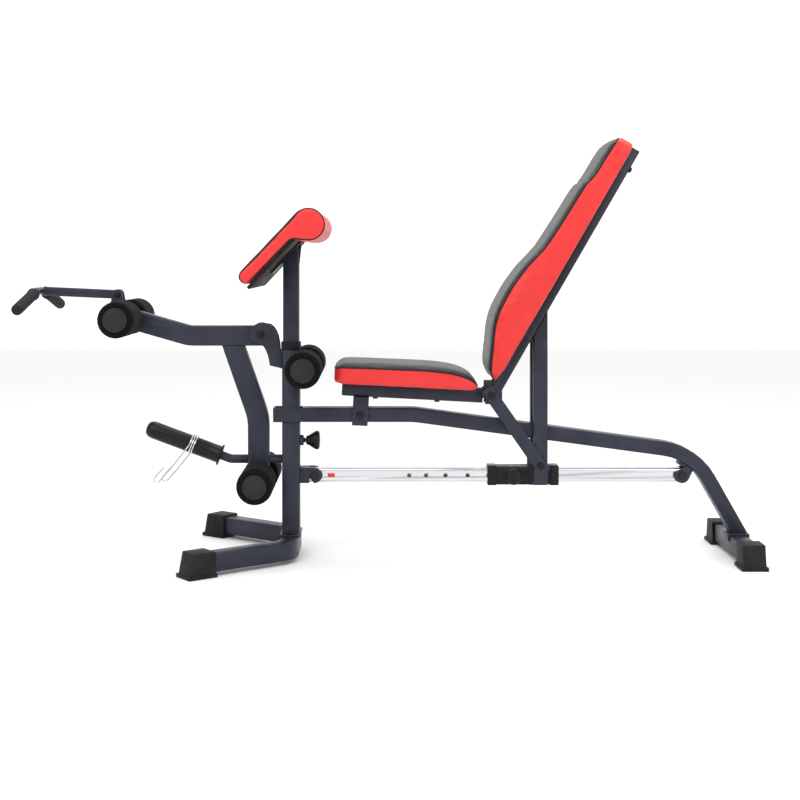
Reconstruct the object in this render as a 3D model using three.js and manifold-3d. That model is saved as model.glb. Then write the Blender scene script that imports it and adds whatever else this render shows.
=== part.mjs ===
// Adjustable weight bench with a preacher curl pad, a leg lever and a curl handle.
// Millimetres, +Z up. X runs along the bench, towards the foot under the head end, and Y across it.
// X = 0 lies under the front of the seat. The last lines move the origin under the middle of the box.
import * as THREE from 'three';
import { mergeVertices } from 'three/addons/utils/BufferGeometryUtils.js';
import Module from 'manifold-3d';

const wasm = await Module();
wasm.setup();

const { degToRad } = THREE.MathUtils;
const { sin, cos, tan, hypot, atan2, sqrt, PI } = Math;

// ---- driving dimensions ----
const gap = 0.3; // between pieces that touch
const sideClearance = 1.5; // beside pieces that turn or slide past each other
const tubeWall = 2;
const tubeCorner = 4; // outer radius of a square tube's edges
const plateThickness = 5;
const bolt = { diameter: 12, headWidth: 19, headThickness: 8, clearance: 0.6 };

const foot = { tube: 50, bottom: 11 };
const frontFoot = { crossbar: 216, legLength: 312, spread: 37, bendRadius: 72 };
const rearFoot = { length: 400, inset: 6.2, plateLength: 90, plateFold: 14 };
const footCap = { length: 62, wall: 6, flange: 5, flangeHeight: 10, endWall: 4, toe: 16 };

const post = { tube: 50, x: -246, top: 582, basePlateWidth: 120 };
const collar = { overhang: 2.5, height: 23 };
const postPin = { height: 325, diameter: 13, bushDiameter: 30, bushLength: 10, neck: 6,
  knobLength: 40, knobDiameter: 54 };

const beam = { width: 60, height: 40, level: 399, slopeStart: 102, slope: 7.7, slopeRadius: 260,
  dropCorner: 891, drop: 60.4, dropRadius: 170 };
const beamClamp = { reach: 25, height: 40 };

const rail = { tube: 38, level: 228, frontBoltGap: 41, rearBoltX: 858, holeDiameter: 12,
  bracketMargin: 3, rearBracketLean: 25, overrun: 14 };

const preacher = { play: 0.5, bottom: 292, padLow: 98, slope: 47, halfWidth: 280,
  slab: 50, length: 238, bulbRadius: 46, mountStart: 62, mountLength: 120, mountWidth: 110, padBottom: 756 };

const lever = { pivotDrop: -85, pivotHeight: 626.5, armDrop: 4.5, armHeight: 57, armWidth: 40,
  armRear: 30, armFront: 203, armRise: 16, armTip: 225, armRadius: 90, rollerAlongTip: 185,
  legWidth: 60, legTop: -78, legShaft: -7, legBend: -236, legBottom: -432, bendRadius: 170 };
const weightBar = { diameter: 25, height: -354.5, run: 49, rise: 20.5, bendRadius: 40, sleeveStart: 29,
  sleeveLength: 226, sleeveDiameter: 49, flangeDiameter: 61, flangeThickness: 6 };
const springClip = { wire: 5, turns: 2.5, pitch: 6.2, place: 78, leg: 132, lean: 0.32,
  hook: 18, hookReturn: 48, play: 1.6 };

const roller = { foamDiameter: 100, foamEdge: 12, inner: 38, foamLength: 152, tube: 25,
  discDiameter: 66, discThickness: 7 };
const ankleRoller = { height: -405.5, x: -4 };
const kneeRoller = { height: 536, sleeveWall: 3.5 };

const curl = { rodTube: 25, rodLength: 204, rodTilt: 2.6, pivotRise: 37, pivotAhead: 26, earRadius: 15,
  swivel: 12, washerDiameter: 28, washerThickness: 6, barDiameter: 22, halfSpan: 256, droop: 45,
  flatHalf: 48, bendRadius: 60, gripStart: 82, gripDiameter: 31 };

const seat = { tilt: 3, tubeWidth: 50, tubeHeight: 40, tubeCentre: 72, tubeFront: -52, pivotX: -50,
  bracketLength: 44, bracketDrop: 29, padFront: -84, padRear: 328, padBottom: 93, padSide: 50,
  padCrown: 11, halfWidth: 140, boltGap: 22, rearSlope: 92 };

const recline = { pivotX: 318, pivotHeight: 457, sliderPivotX: 456, sliderPivotHeight: 259, restAngle: 60,
  steps: 6, stepAngle: 15 };
const backRail = { height: 30, width: 20, rearFace: -19.3, bottom: -22, top: 796 };
const brace = { width: 40, thickness: 20, bottom: 205 };
const diagonal = { width: 35, thickness: 6, overrun: 22 };
const ear = { front: 16, rear: 32, bottom: 27, top: 36 };
const crossPlate = { length: 90, at: 600 };
const backPad = { halfWidth: 140, start: 38, end: 808, hipAt: 117, lumbarAt: 275, waistAt: 445, neckAt: 650,
  hipDepth: 60, lumbarDepth: 99, waistDepth: 72, neckDepth: 66, topDepth: 55 };

const slider = { length: 201, front: 309, wall: 3, play: 0.6, capLength: 25, capHeight: 56, pinX: 380,
  pinDiameter: 10, knobDiameter: 45, knobLength: 22, knobNeck: 14, clevisFront: 30, clevisRear: 22 };

// ---- materials ----
const material = (color, roughness, metalness = 0) =>
  new THREE.MeshStandardMaterial({ color, roughness, metalness });
const framePaint = material(0x2e303a, 0.45, 0.3);
const blackSteel = material(0x1d1e22, 0.5, 0.4);
const chrome = material(0xd8dadc, 0.12, 1);
const blackPlastic = material(0x202124, 0.6);
const rubber = material(0x1a1a1c, 0.85);
const foam = material(0x151517, 0.95);
const redVinyl = material(0xdf3f38, 0.5);

// ---- booleans ----
function toSolid(geometry) {
  const plain = geometry.clone();
  plain.deleteAttribute('normal');
  plain.deleteAttribute('uv');
  const merged = mergeVertices(plain);
  return new wasm.Manifold(new wasm.Mesh({
    numProp: 3,
    vertProperties: Float32Array.from(merged.attributes.position.array),
    triVerts: Uint32Array.from(merged.index.array),
  }));
}

function toGeometry(solid) {
  const { vertProperties, triVerts } = solid.getMesh();
  const indexed = new THREE.BufferGeometry();
  indexed.setAttribute('position', new THREE.BufferAttribute(vertProperties, 3));
  indexed.setIndex(new THREE.BufferAttribute(triVerts, 1));
  const flat = indexed.toNonIndexed();
  flat.computeVertexNormals();
  return flat;
}

const cut = (geometry, ...tools) =>
  toGeometry(tools.reduce((rest, tool) => rest.subtract(toSolid(tool)), toSolid(geometry)));
const join = (first, ...others) =>
  toGeometry(others.reduce((sum, other) => sum.add(toSolid(other)), toSolid(first)));

// ---- shapes ----
// A route of straight runs with round bends. Sections stay square to it, with one side along `side`.
class Route extends THREE.Curve {
  constructor(stations, side) {
    super();
    this.stations = stations;
    this.side = side && new THREE.Vector3(...side);
  }

  static throughCorners(corners, radii, side, bendSteps = 4) {
    const at = corners.map((corner) => new THREE.Vector3(...corner));
    const stations = [];
    at.forEach((corner, i) => {
      const before = corner.clone().sub(at[Math.max(i - 1, 0)]).normalize();
      const after = at[Math.min(i + 1, at.length - 1)].clone().sub(corner).normalize();
      if (i === 0 || i === at.length - 1) {
        stations.push({ point: corner, tangent: i === 0 ? after : before });
        return;
      }
      const radius = [radii].flat()[Math.min(i - 1, [radii].flat().length - 1)];
      const turn = before.angleTo(after);
      const axis = before.clone().cross(after).normalize();
      const start = corner.clone().addScaledVector(before, -radius * tan(turn / 2));
      const centre = start.clone().addScaledVector(axis.clone().cross(before), radius);
      for (let k = 0; k <= bendSteps; k++) {
        const angle = (turn * k) / bendSteps;
        const point = start.clone().sub(centre).applyAxisAngle(axis, angle).add(centre);
        stations.push({ point, tangent: before.clone().applyAxisAngle(axis, angle) });
      }
    });
    return new Route(stations, side);
  }

  get steps() {
    return this.stations.length - 1;
  }

  station(u) {
    return this.stations[Math.round(u * this.steps)];
  }

  getPoint(u, target = new THREE.Vector3()) {
    return target.copy(this.station(u).point);
  }

  getPointAt(u, target) {
    return this.getPoint(u, target);
  }

  getTangent(u, target = new THREE.Vector3()) {
    return target.copy(this.station(u).tangent);
  }

  getTangentAt(u, target) {
    return this.getTangent(u, target);
  }

  computeFrenetFrames(segments, closed) {
    if (!this.side) return super.computeFrenetFrames(segments, closed);
    const tangents = this.stations.map((station) => station.tangent);
    const normals = tangents.map(() => this.side.clone());
    const binormals = tangents.map((tangent) => tangent.clone().cross(this.side));
    return { tangents, normals, binormals };
  }
}

// A rectangle with rounded corners, `width` along the route's side.
function rectangle(width, height, radius) {
  const shape = new THREE.Shape();
  const [w, h] = [width / 2 - radius, height / 2 - radius];
  [[w, h, 0], [-w, h, 90], [-w, -h, 180], [w, -h, 270]].forEach(([x, y, from]) => {
    shape.absarc(x, y, radius, degToRad(from), degToRad(from + 90));
  });
  shape.closePath();
  return shape;
}

function hollowRectangle(width, height) {
  const shape = rectangle(width, height, tubeCorner);
  const [w, h] = [width / 2 - tubeWall, height / 2 - tubeWall];
  const inside = [[-w, -h], [-w, h], [w, h], [w, -h]];
  shape.holes.push(new THREE.Path(inside.map(([x, y]) => new THREE.Vector2(x, y))));
  return shape;
}

const sweep = (shape, route, curveSegments = 1) =>
  new THREE.ExtrudeGeometry(shape, { steps: route.steps, extrudePath: route, curveSegments });

// A square tube. `width` lies along `side`, which is square to the plane of the route.
const tube = (corners, width, height, { radii = 0, side = [0, 1, 0], bendSteps } = {}) =>
  sweep(hollowRectangle(width, height), Route.throughCorners(corners, radii, side, bendSteps));

// The space that a tube fills, for cutting its neighbours clear of it.
const tubeSpace = (corners, width, height, { radii = 0, side = [0, 1, 0], bendSteps } = {}) =>
  sweep(rectangle(width, height, 0.5), Route.throughCorners(corners, radii, side, bendSteps));

const circle = (radius) => new THREE.Shape().absarc(0, 0, radius, 0, 2 * PI);

const roundBar = (corners, diameter, { radii = 0, side = [0, 1, 0], bendSteps } = {}) =>
  sweep(circle(diameter / 2), Route.throughCorners(corners, radii, side, bendSteps), 7);

const block = (x, y, z) => new THREE.BoxGeometry(x, y, z);
const at = (geometry, x, y, z) => geometry.translate(x, y, z);

// A box between two corners.
function span([x0, y0, z0], [x1, y1, z1]) {
  const size = [x1 - x0, y1 - y0, z1 - z0].map(Math.abs);
  return at(block(...size), (x0 + x1) / 2, (y0 + y1) / 2, (z0 + z1) / 2);
}

// A flat plate with its outline in XZ, centred on y.
function plate(outline, thickness, y = 0) {
  const fromPoints = (points) => new THREE.Shape(points.map(([x, z]) => new THREE.Vector2(x, z)));
  const shape = outline instanceof THREE.Shape ? outline : fromPoints(outline);
  const options = { depth: thickness, bevelEnabled: false, curveSegments: 5 };
  const geometry = new THREE.ExtrudeGeometry(shape, options);
  return geometry.translate(0, 0, -thickness / 2).rotateX(PI / 2).translate(0, y, 0);
}

// A cylinder along Y, with `sides` facets.
const pin = (diameter, length, sides = 12) =>
  new THREE.CylinderGeometry(diameter / 2, diameter / 2, length, sides);

// A body of revolution about Y from [radius, y] points, listed with the material on the left.
const turned = (profile, sides = 16) =>
  new THREE.LatheGeometry(profile.map(([r, y]) => new THREE.Vector2(r, y)), sides);

// A through bolt along Y, with a hexagon head and nut outside `grip`.
function throughBolt(grip, { diameter, headWidth, headThickness } = bolt) {
  const head = () => pin(headWidth, headThickness, 6);
  const seated = grip / 2 + gap + headThickness / 2;
  return join(pin(diameter, grip + headThickness), at(head(), 0, seated, 0), at(head(), 0, -seated, 0));
}

const boltHole = (length, x = 0, z = 0) => at(pin(bolt.diameter + 2 * bolt.clearance, length), x, 0, z);

// ---- assembly helpers ----
const bench = new THREE.Group();

function assembly(parent, position, turnY = 0) {
  const group = new THREE.Group();
  group.position.set(...position);
  group.rotation.y = turnY;
  parent.add(group);
  return group;
}

function place(parent, name, geometry, finish, position = [0, 0, 0], turn = [0, 0, 0]) {
  const mesh = new THREE.Mesh(geometry, finish);
  mesh.name = name;
  mesh.position.set(...position);
  mesh.rotation.set(...turn);
  parent.add(mesh);
  return mesh;
}

// ---- feet ----
const footTop = foot.bottom + foot.tube;
const footCentre = foot.bottom + foot.tube / 2;

// Where the beam comes down: its centre line's height along the slope, and its X at a height on the drop.
const slopeFall = (x) => beam.level - (x - beam.slopeStart) * tan(degToRad(beam.slope));
const dropCornerHeight = slopeFall(beam.dropCorner);
const beamFoot = footTop + gap + plateThickness + gap;
const beamFootX = (height) => beam.dropCorner + (dropCornerHeight - height) / tan(degToRad(beam.drop));
const rearFootX = beamFootX(beamFoot) - rearFoot.inset;

// A rubber cap on a foot tube's end. Local +X points out of the tube, and z = 0 is the floor.
function footCapGeometry() {
  const outside = foot.tube / 2 + footCap.wall;
  const top = footTop + footCap.wall;
  const edge = 3;
  const back = -footCap.length;
  const side = [[back, footCap.flangeHeight], [back, top - edge], [back + edge, top],
    [footCap.endWall - 1, top], [footCap.endWall + 1, top - edge], [footCap.toe, footCap.flangeHeight]];
  const flange = span([back - 2, -outside - footCap.flange, 0],
    [footCap.toe + footCap.flange, outside + footCap.flange, footCap.flangeHeight + 0.1]);
  const pocketHalf = foot.tube / 2 + gap;
  const pocket = span([2 * back, -pocketHalf, foot.bottom - gap], [gap, pocketHalf, footTop + gap]);
  return cut(join(plate(side, 2 * outside), flange), pocket);
}

const legDirection = [-cos(degToRad(frontFoot.spread)), sin(degToRad(frontFoot.spread))];
const frontFootEnd = (way) => [post.x + legDirection[0] * frontFoot.legLength,
  way * (frontFoot.crossbar / 2 + legDirection[1] * frontFoot.legLength)];
const frontFootCorners = [
  [...frontFootEnd(-1), 0],
  [post.x, -frontFoot.crossbar / 2, 0],
  [post.x, frontFoot.crossbar / 2, 0],
  [...frontFootEnd(1), 0],
];
const frontFootBends = { radii: frontFoot.bendRadius, side: [0, 0, 1], bendSteps: 5 };
place(bench, 'front_foot_tube', tube(frontFootCorners, foot.tube, foot.tube, frontFootBends),
  framePaint, [0, 0, footCentre]);
for (const [name, way] of [['left', 1], ['right', -1]]) {
  const [x, y] = frontFootEnd(way);
  const outward = way * (PI - degToRad(frontFoot.spread));
  place(bench, `front_foot_cap_${name}`, footCapGeometry(), rubber, [x, y, 0], [0, 0, outward]);
  const rearEnd = [rearFootX, (way * rearFoot.length) / 2, 0];
  place(bench, `rear_foot_cap_${name}`, footCapGeometry(), rubber, rearEnd, [0, 0, (way * PI) / 2]);
}
const rearFootCorners = [[0, -rearFoot.length / 2, 0], [0, rearFoot.length / 2, 0]];
place(bench, 'rear_foot_tube', tube(rearFootCorners, foot.tube, foot.tube, { side: [0, 0, 1] }),
  framePaint, [rearFootX, 0, footCentre]);

// ---- front post ----
const postHalf = post.tube / 2;
const postRear = post.x + postHalf;
const postFront = post.x - postHalf;
const postBottom = footTop + gap;
const pinHoleLength = postHalf + postPin.bushLength + 8;
const pinHole = at(pin(postPin.diameter + 1, pinHoleLength).rotateZ(PI / 2),
  pinHoleLength / 2 + 4, 0, postPin.height);
const basePlate = span([-postHalf - 4, -post.basePlateWidth / 2, postBottom],
  [postHalf + 4, post.basePlateWidth / 2, postBottom + plateThickness]);
const pinBush = at(pin(postPin.bushDiameter, postPin.bushLength + 1, 20).rotateZ(PI / 2),
  postHalf + (postPin.bushLength - 1) / 2, 0, postPin.height);
const postTube = tube([[0, 0, postBottom], [0, 0, post.top]], post.tube, post.tube);
place(bench, 'front_post', cut(join(postTube, basePlate, pinBush), pinHole), framePaint, [post.x, 0, 0]);

const preacherTube = post.tube - 2 * tubeWall - 2 * preacher.play;
const collarBore = preacherTube + 2 * preacher.play;
const collarWidth = post.tube + 2 * collar.overhang;
const collarRoute = Route.throughCorners([[0, 0, 0], [0, 0, collar.height]], 0, [0, 1, 0]);
place(bench, 'post_collar', cut(
  sweep(rectangle(collarWidth, collarWidth, tubeCorner + 2), collarRoute),
  block(collarBore, collarBore, 3 * collar.height),
), blackPlastic, [post.x, 0, post.top + gap]);

const pullPin = assembly(bench, [postRear, 0, postPin.height]);
const knobStart = postPin.bushLength + postPin.neck;
const knobEnd = postPin.bushLength + postPin.knobLength;
const pinRadius = postPin.diameter / 2;
const knobRadius = postPin.knobDiameter / 2;
place(pullPin, 'post_pull_pin', turned([
  [0, 0.5 - tubeWall], [pinRadius, 0.5 - tubeWall], [pinRadius, knobStart],
  [12, knobStart], [13, knobStart + 8], [knobRadius - 3, knobEnd - 8],
  [knobRadius, knobEnd - 4], [knobRadius - 1, knobEnd + 3], [15, knobEnd + 7], [0, knobEnd + 8],
], 20), blackPlastic, [0, 0, 0], [0, 0, -PI / 2]);

// ---- main beam, from the post to the rear foot ----
const clampRear = postRear + plateThickness;
const beamEnd = beamFoot - beam.height;
const beamCorners = [[clampRear + gap, 0, beam.level], [beam.slopeStart, 0, beam.level],
  [beam.dropCorner, 0, dropCornerHeight], [beamFootX(beamEnd), 0, beamEnd]];
const beamBends = { radii: [beam.slopeRadius, beam.dropRadius], bendSteps: 6 };
const belowBeam = span([beam.dropCorner - 100, -beam.width, beamEnd - 60],
  [beam.dropCorner + 400, beam.width, beamFoot]);
const seatPivot = [seat.pivotX, beam.level];
place(bench, 'main_beam', cut(tube(beamCorners, beam.width, beam.height, beamBends), belowBeam,
  boltHole(2 * beam.width, ...seatPivot)), framePaint);
const beamSpace = tubeSpace(beamCorners, beam.width + 2 * gap, beam.height + 2 * gap, beamBends);

const clampFront = postFront - beamClamp.reach;
const clampBottom = beam.level - beamClamp.height / 2;
const clampTop = beam.level + beamClamp.height / 2;
const clampInner = postHalf + gap;
const clampSide = (way) => span([clampFront, way * clampInner, clampBottom],
  [clampRear, way * (clampInner + plateThickness), clampTop]);
place(bench, 'beam_clamp_bracket', join(
  span([clampFront, -clampInner - 1, clampBottom], [clampFront + plateThickness, clampInner + 1, clampTop]),
  clampSide(1), clampSide(-1),
), framePaint);

const saddleInner = foot.tube / 2 + gap;
const saddleHalf = saddleInner + plateThickness;
place(bench, 'rear_foot_plate', cut(
  span([-saddleHalf, -rearFoot.plateLength / 2, -rearFoot.plateFold],
    [saddleHalf, rearFoot.plateLength / 2, gap + plateThickness]),
  span([-saddleInner, -rearFoot.plateLength, -foot.tube], [saddleInner, rearFoot.plateLength, gap]),
), framePaint, [rearFootX, 0, footTop]);

// ---- rail ----
const railHalf = rail.tube / 2;
const bracketRadius = railHalf + rail.bracketMargin;
const railFrontBoltX = postRear + rail.frontBoltGap;
const railFront = railFrontBoltX - rail.overrun;
const railRear = rail.rearBoltX + rail.overrun;
const bracketInner = railHalf + gap;
const bracketPlateY = bracketInner + plateThickness / 2;

// The slider's travel, in X, that turns the backrest back by `angle` on its two pivots.
const seatArm = hypot(recline.pivotX - seat.pivotX, recline.pivotHeight - beam.level);
const linkRun = recline.pivotX - recline.sliderPivotX;
const linkRise = recline.pivotHeight - recline.sliderPivotHeight;
const linkLength = hypot(linkRun, linkRise);
function sliderTravel(angle) {
  const leaning = atan2(linkRise, linkRun) - degToRad(angle);
  const rise = recline.sliderPivotHeight + linkLength * sin(leaning) - beam.level;
  return seat.pivotX + sqrt(seatArm ** 2 - rise ** 2) - linkLength * cos(leaning) - recline.sliderPivotX;
}
const pinHoles = Array.from({ length: recline.steps },
  (_, step) => slider.pinX + sliderTravel(step * recline.stepAngle));
place(bench, 'adjusting_rail', cut(
  tube([[railFront, 0, rail.level], [railRear, 0, rail.level]], rail.tube, rail.tube),
  boltHole(3 * rail.tube, railFrontBoltX, rail.level), boltHole(3 * rail.tube, rail.rearBoltX, rail.level),
  ...pinHoles.map((x) => at(pin(rail.holeDiameter, rail.tube, 12), x, -railHalf, rail.level)),
), chrome);

// A bracket cheek with a round end about the bolt, running to `far` in the given direction.
function roundEndPlate(boltX, boltZ, direction, far, y) {
  const shape = new THREE.Shape();
  const [dx, dz] = direction;
  const start = atan2(dz, dx) + PI / 2;
  shape.moveTo(boltX + dx * far - dz * bracketRadius, boltZ + dz * far + dx * bracketRadius);
  shape.absarc(boltX, boltZ, bracketRadius, start, start + PI, false);
  shape.lineTo(boltX + dx * far + dz * bracketRadius, boltZ + dz * far - dx * bracketRadius);
  shape.closePath();
  return plate(shape, plateThickness, y);
}

const frontReach = rail.frontBoltGap - gap;
place(bench, 'rail_front_bracket', cut(join(
  span([postRear + gap, -bracketPlateY, rail.level - bracketRadius],
    [railFront - gap, bracketPlateY, rail.level + bracketRadius]),
  roundEndPlate(railFrontBoltX, rail.level, [-1, 0], frontReach, bracketPlateY),
  roundEndPlate(railFrontBoltX, rail.level, [-1, 0], frontReach, -bracketPlateY),
), boltHole(4 * rail.tube, railFrontBoltX, rail.level)), framePaint);

const bracketLean = degToRad(rail.rearBracketLean);
const rearDirection = [sin(bracketLean), cos(bracketLean)];
const beamOverBolt = slopeFall(rail.rearBoltX) - rail.level - 0.55 * bracketRadius;
const webStart = rail.overrun * sin(bracketLean) + railHalf * cos(bracketLean) + 2 * gap;
const rearWeb = span([-bracketRadius, -bracketPlateY, webStart],
  [bracketRadius, bracketPlateY, beamOverBolt])
  .rotateY(bracketLean).translate(rail.rearBoltX, 0, rail.level);
place(bench, 'rail_rear_bracket', cut(join(
  roundEndPlate(rail.rearBoltX, rail.level, rearDirection, beamOverBolt, bracketPlateY),
  roundEndPlate(rail.rearBoltX, rail.level, rearDirection, beamOverBolt, -bracketPlateY), rearWeb,
), beamSpace, boltHole(4 * rail.tube, rail.rearBoltX, rail.level)), framePaint);

// ---- preacher pad on its telescopic post ----
const slopeAngle = degToRad(preacher.slope);
const padLowX = post.x - preacher.padLow;
const padPoint = (along, out) => [padLowX + along * cos(slopeAngle) - out * sin(slopeAngle),
  preacher.padBottom + along * sin(slopeAngle) + out * cos(slopeAngle)];
const postTopAlong = preacher.padLow / cos(slopeAngle) - (plateThickness + 2 * gap) * tan(slopeAngle);
const preacherTop = padPoint(postTopAlong, -plateThickness - 2 * gap)[1];
const preacherSlope = assembly(bench, [padLowX, 0, preacher.padBottom], -slopeAngle);
const abovePlate = span([-400, -60, -plateThickness - 2 * gap], [600, 60, 200])
  .rotateY(-slopeAngle).translate(padLowX - post.x, 0, preacher.padBottom);
const innerPost = tube([[0, 0, preacher.bottom], [0, 0, preacherTop + preacherTube]],
  preacherTube, preacherTube);
place(bench, 'preacher_post', cut(innerPost, abovePlate), framePaint, [post.x, 0, 0]);

// The same point as padPoint gives, but from bench X and Z to the slope's own pair.
const toSlope = (x, z) => [(x - padLowX) * cos(slopeAngle) + (z - preacher.padBottom) * sin(slopeAngle),
  -(x - padLowX) * sin(slopeAngle) + (z - preacher.padBottom) * cos(slopeAngle)];
const innerRear = post.x + preacherTube / 2 + gap;
const underMount = -plateThickness;
const mountEnd = preacher.mountStart + preacher.mountLength;
const gusset = [toSlope(innerRear, preacherTop - 30), [mountEnd, underMount],
  [(innerRear - padLowX + underMount * sin(slopeAngle)) / cos(slopeAngle), underMount]];
place(preacherSlope, 'preacher_mount', join(
  span([preacher.mountStart, -preacher.mountWidth / 2, -plateThickness - gap],
    [mountEnd, preacher.mountWidth / 2, -gap]),
  plate(gusset, preacherTube * 0.6),
), blackSteel);

function preacherOutline() {
  const shape = new THREE.Shape();
  const { slab, length, bulbRadius } = preacher;
  shape.moveTo(4, 0);
  shape.lineTo(length - bulbRadius - 10, 0);
  shape.quadraticCurveTo(length - bulbRadius, -2, length - 0.75 * bulbRadius, -0.62 * bulbRadius);
  shape.absarc(length, 3, bulbRadius, degToRad(222), degToRad(360 + 78), false);
  shape.lineTo(12, slab);
  shape.absarc(10, slab - 10, 10, PI / 2, PI, false);
  shape.lineTo(0, 4);
  shape.closePath();
  return shape;
}
place(preacherSlope, 'preacher_pad', plate(preacherOutline(), 2 * preacher.halfWidth), redVinyl);

// ---- leg lever ----
const leverPivotX = post.x + lever.pivotDrop;
const leverGroup = assembly(bench, [leverPivotX, 0, lever.pivotHeight]);
const riseAngle = degToRad(lever.armRise);
const armCorner = [-lever.armFront, -lever.armDrop];
const armPoint = (along, up = 0) => [armCorner[0] - along * cos(riseAngle) + up * sin(riseAngle),
  armCorner[1] + along * sin(riseAngle) + up * cos(riseAngle)];
const topAxis = armPoint(lever.rollerAlongTip);
const axleHole = (x, z) => at(pin(roller.tube + 4 * gap, 4 * roller.tube, 14), x, 0, z);
const armTip = armPoint(lever.armTip);
const armCorners = [[lever.armRear, 0, -lever.armDrop], [armCorner[0], 0, armCorner[1]],
  [armTip[0], 0, armTip[1]]];
place(leverGroup, 'lever_arm', cut(
  tube(armCorners, lever.armWidth, lever.armHeight, { radii: lever.armRadius }),
  boltHole(3 * lever.armWidth), axleHole(...topAxis),
), framePaint);

const armUnderside = -lever.armDrop - lever.armHeight / 2 - gap;
const legSlant = (lever.legShaft - lever.legTop) / (lever.legBend - armUnderside);
const legTopX = (z) => lever.legShaft + (z - lever.legBend) * legSlant;
const aboveLeg = span([lever.legTop - 200, -lever.armWidth, armUnderside],
  [lever.legTop + 200, lever.armWidth, 300]);
const stopStart = lever.legShaft + lever.legWidth / 2;
const stopEnd = postFront - leverPivotX - gap;
const barHeight = weightBar.height;
const legCorners = [
  [legTopX(armUnderside + 40), 0, armUnderside + 40],
  [lever.legShaft, 0, lever.legBend],
  [lever.legShaft, 0, lever.legBottom],
];
const legTube = tube(legCorners, lever.armWidth, lever.legWidth, { radii: lever.bendRadius });
const stopStub = at(pin(weightBar.diameter, stopEnd - stopStart + 1).rotateZ(PI / 2),
  (stopStart + stopEnd - 1) / 2, 0, barHeight);
const ankleHole = axleHole(ankleRoller.x, ankleRoller.height);
place(leverGroup, 'lever_leg', cut(join(legTube, stopStub), aboveLeg, ankleHole), framePaint);

const cheekRoot = -96;
const cheekTop = post.top - lever.pivotHeight - 6;
const cheekInner = lever.armWidth / 2 + sideClearance;
const cheekY = cheekInner + plateThickness / 2;
function cheekOutline() {
  const shape = new THREE.Shape();
  const root = postFront - leverPivotX - gap;
  shape.moveTo(root, cheekRoot);
  shape.lineTo(root, cheekTop);
  shape.lineTo(root - 6, cheekTop + 6);
  shape.quadraticCurveTo(root - 8, 12, root - 34, 28);
  shape.absarc(0, 0, 32, degToRad(66), degToRad(212), false);
  shape.lineTo(root - 52, -34);
  shape.quadraticCurveTo(root - 38, -52, root - 34, -88);
  shape.closePath();
  return shape;
}
const webFront = postFront - leverPivotX - gap - plateThickness;
place(bench, 'lever_bracket', cut(join(
  plate(cheekOutline(), plateThickness, cheekY), plate(cheekOutline(), plateThickness, -cheekY),
  span([webFront, -cheekY, cheekRoot], [webFront + plateThickness, cheekY, cheekTop]),
), boltHole(3 * lever.armWidth)), framePaint, [leverPivotX, 0, lever.pivotHeight]);
place(bench, 'lever_pivot_bolt', throughBolt(2 * (cheekInner + plateThickness)), blackSteel,
  [leverPivotX, 0, lever.pivotHeight]);

// weight bar and its sleeve
const barStart = lever.legShaft - lever.legWidth / 2 - gap;
const barCorner = barStart - weightBar.run;
const barRise = degToRad(weightBar.rise);
const barPoint = (along) => [barCorner - along * cos(barRise), barHeight + along * sin(barRise)];
const sleeveEnd = weightBar.sleeveStart + weightBar.sleeveLength;
const barTip = barPoint(sleeveEnd - 22);
const barCorners = [[barStart, 0, barHeight], [barCorner, 0, barHeight], [barTip[0], 0, barTip[1]]];
place(leverGroup, 'weight_bar', roundBar(barCorners, weightBar.diameter, { radii: weightBar.bendRadius }),
  framePaint);

// Along the bar: local +X runs towards the bar's free end.
const sleeveAt = barPoint(weightBar.sleeveStart);
const alongBar = assembly(leverGroup, [sleeveAt[0], 0, sleeveAt[1]], PI + barRise);
const sleeveBore = weightBar.diameter / 2 + gap;
const sleeveRadius = weightBar.sleeveDiameter / 2;
const flangeRadius = weightBar.flangeDiameter / 2;
const domeTip = weightBar.sleeveLength;
place(alongBar, 'weight_sleeve', turned([
  [sleeveBore, 0], [flangeRadius, 0], [flangeRadius, weightBar.flangeThickness],
  [sleeveRadius, weightBar.flangeThickness], [sleeveRadius, domeTip - 20],
  [sleeveRadius * 0.92, domeTip - 9], [sleeveRadius * 0.64, domeTip - 2], [0, domeTip],
  [0, domeTip - 18], [sleeveBore, domeTip - 18], [sleeveBore, 0],
], 18), blackPlastic, [0, 0, 0], [0, 0, -PI / 2]);

// A coil of wire round the sleeve, ending in two hooked handles that hang side by side.
function springClipRoute() {
  const radius = sleeveRadius + springClip.play + springClip.wire / 2;
  const stepsPerTurn = 12;
  const coilSteps = springClip.turns * stepsPerTurn;
  const drift = springClip.lean * springClip.leg;
  const back = springClip.lean * springClip.hookReturn;
  const handle = (x, y) => [
    [x + springClip.hook + drift - back, y, springClip.leg - springClip.hookReturn],
    [x + springClip.hook + drift, y, springClip.leg],
    [x + drift, y, springClip.leg],
    [x, y, 0],
  ];
  const coilWidth = springClip.turns * springClip.pitch;
  const hookRadius = springClip.hook * 0.48;
  const first = Route.throughCorners(handle(0, radius), hookRadius, null, 4).stations;
  const last = Route.throughCorners(handle(coilWidth, -radius).reverse(), hookRadius, null, 4).stations;
  const coil = Array.from({ length: coilSteps - 1 }, (_, k) => {
    const angle = (2 * PI * (k + 1)) / stepsPerTurn;
    const [across, down] = [radius * cos(angle), -radius * sin(angle)];
    const point = new THREE.Vector3((coilWidth * (k + 1)) / coilSteps, across, down);
    const tangent = new THREE.Vector3(springClip.pitch / (2 * PI), down, -across).normalize();
    return { point, tangent };
  });
  return new Route([...first, ...coil, ...last]);
}
place(alongBar, 'spring_clip', sweep(circle(springClip.wire / 2), springClipRoute(), 3),
  chrome, [springClip.place, 0, 0]);

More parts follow.
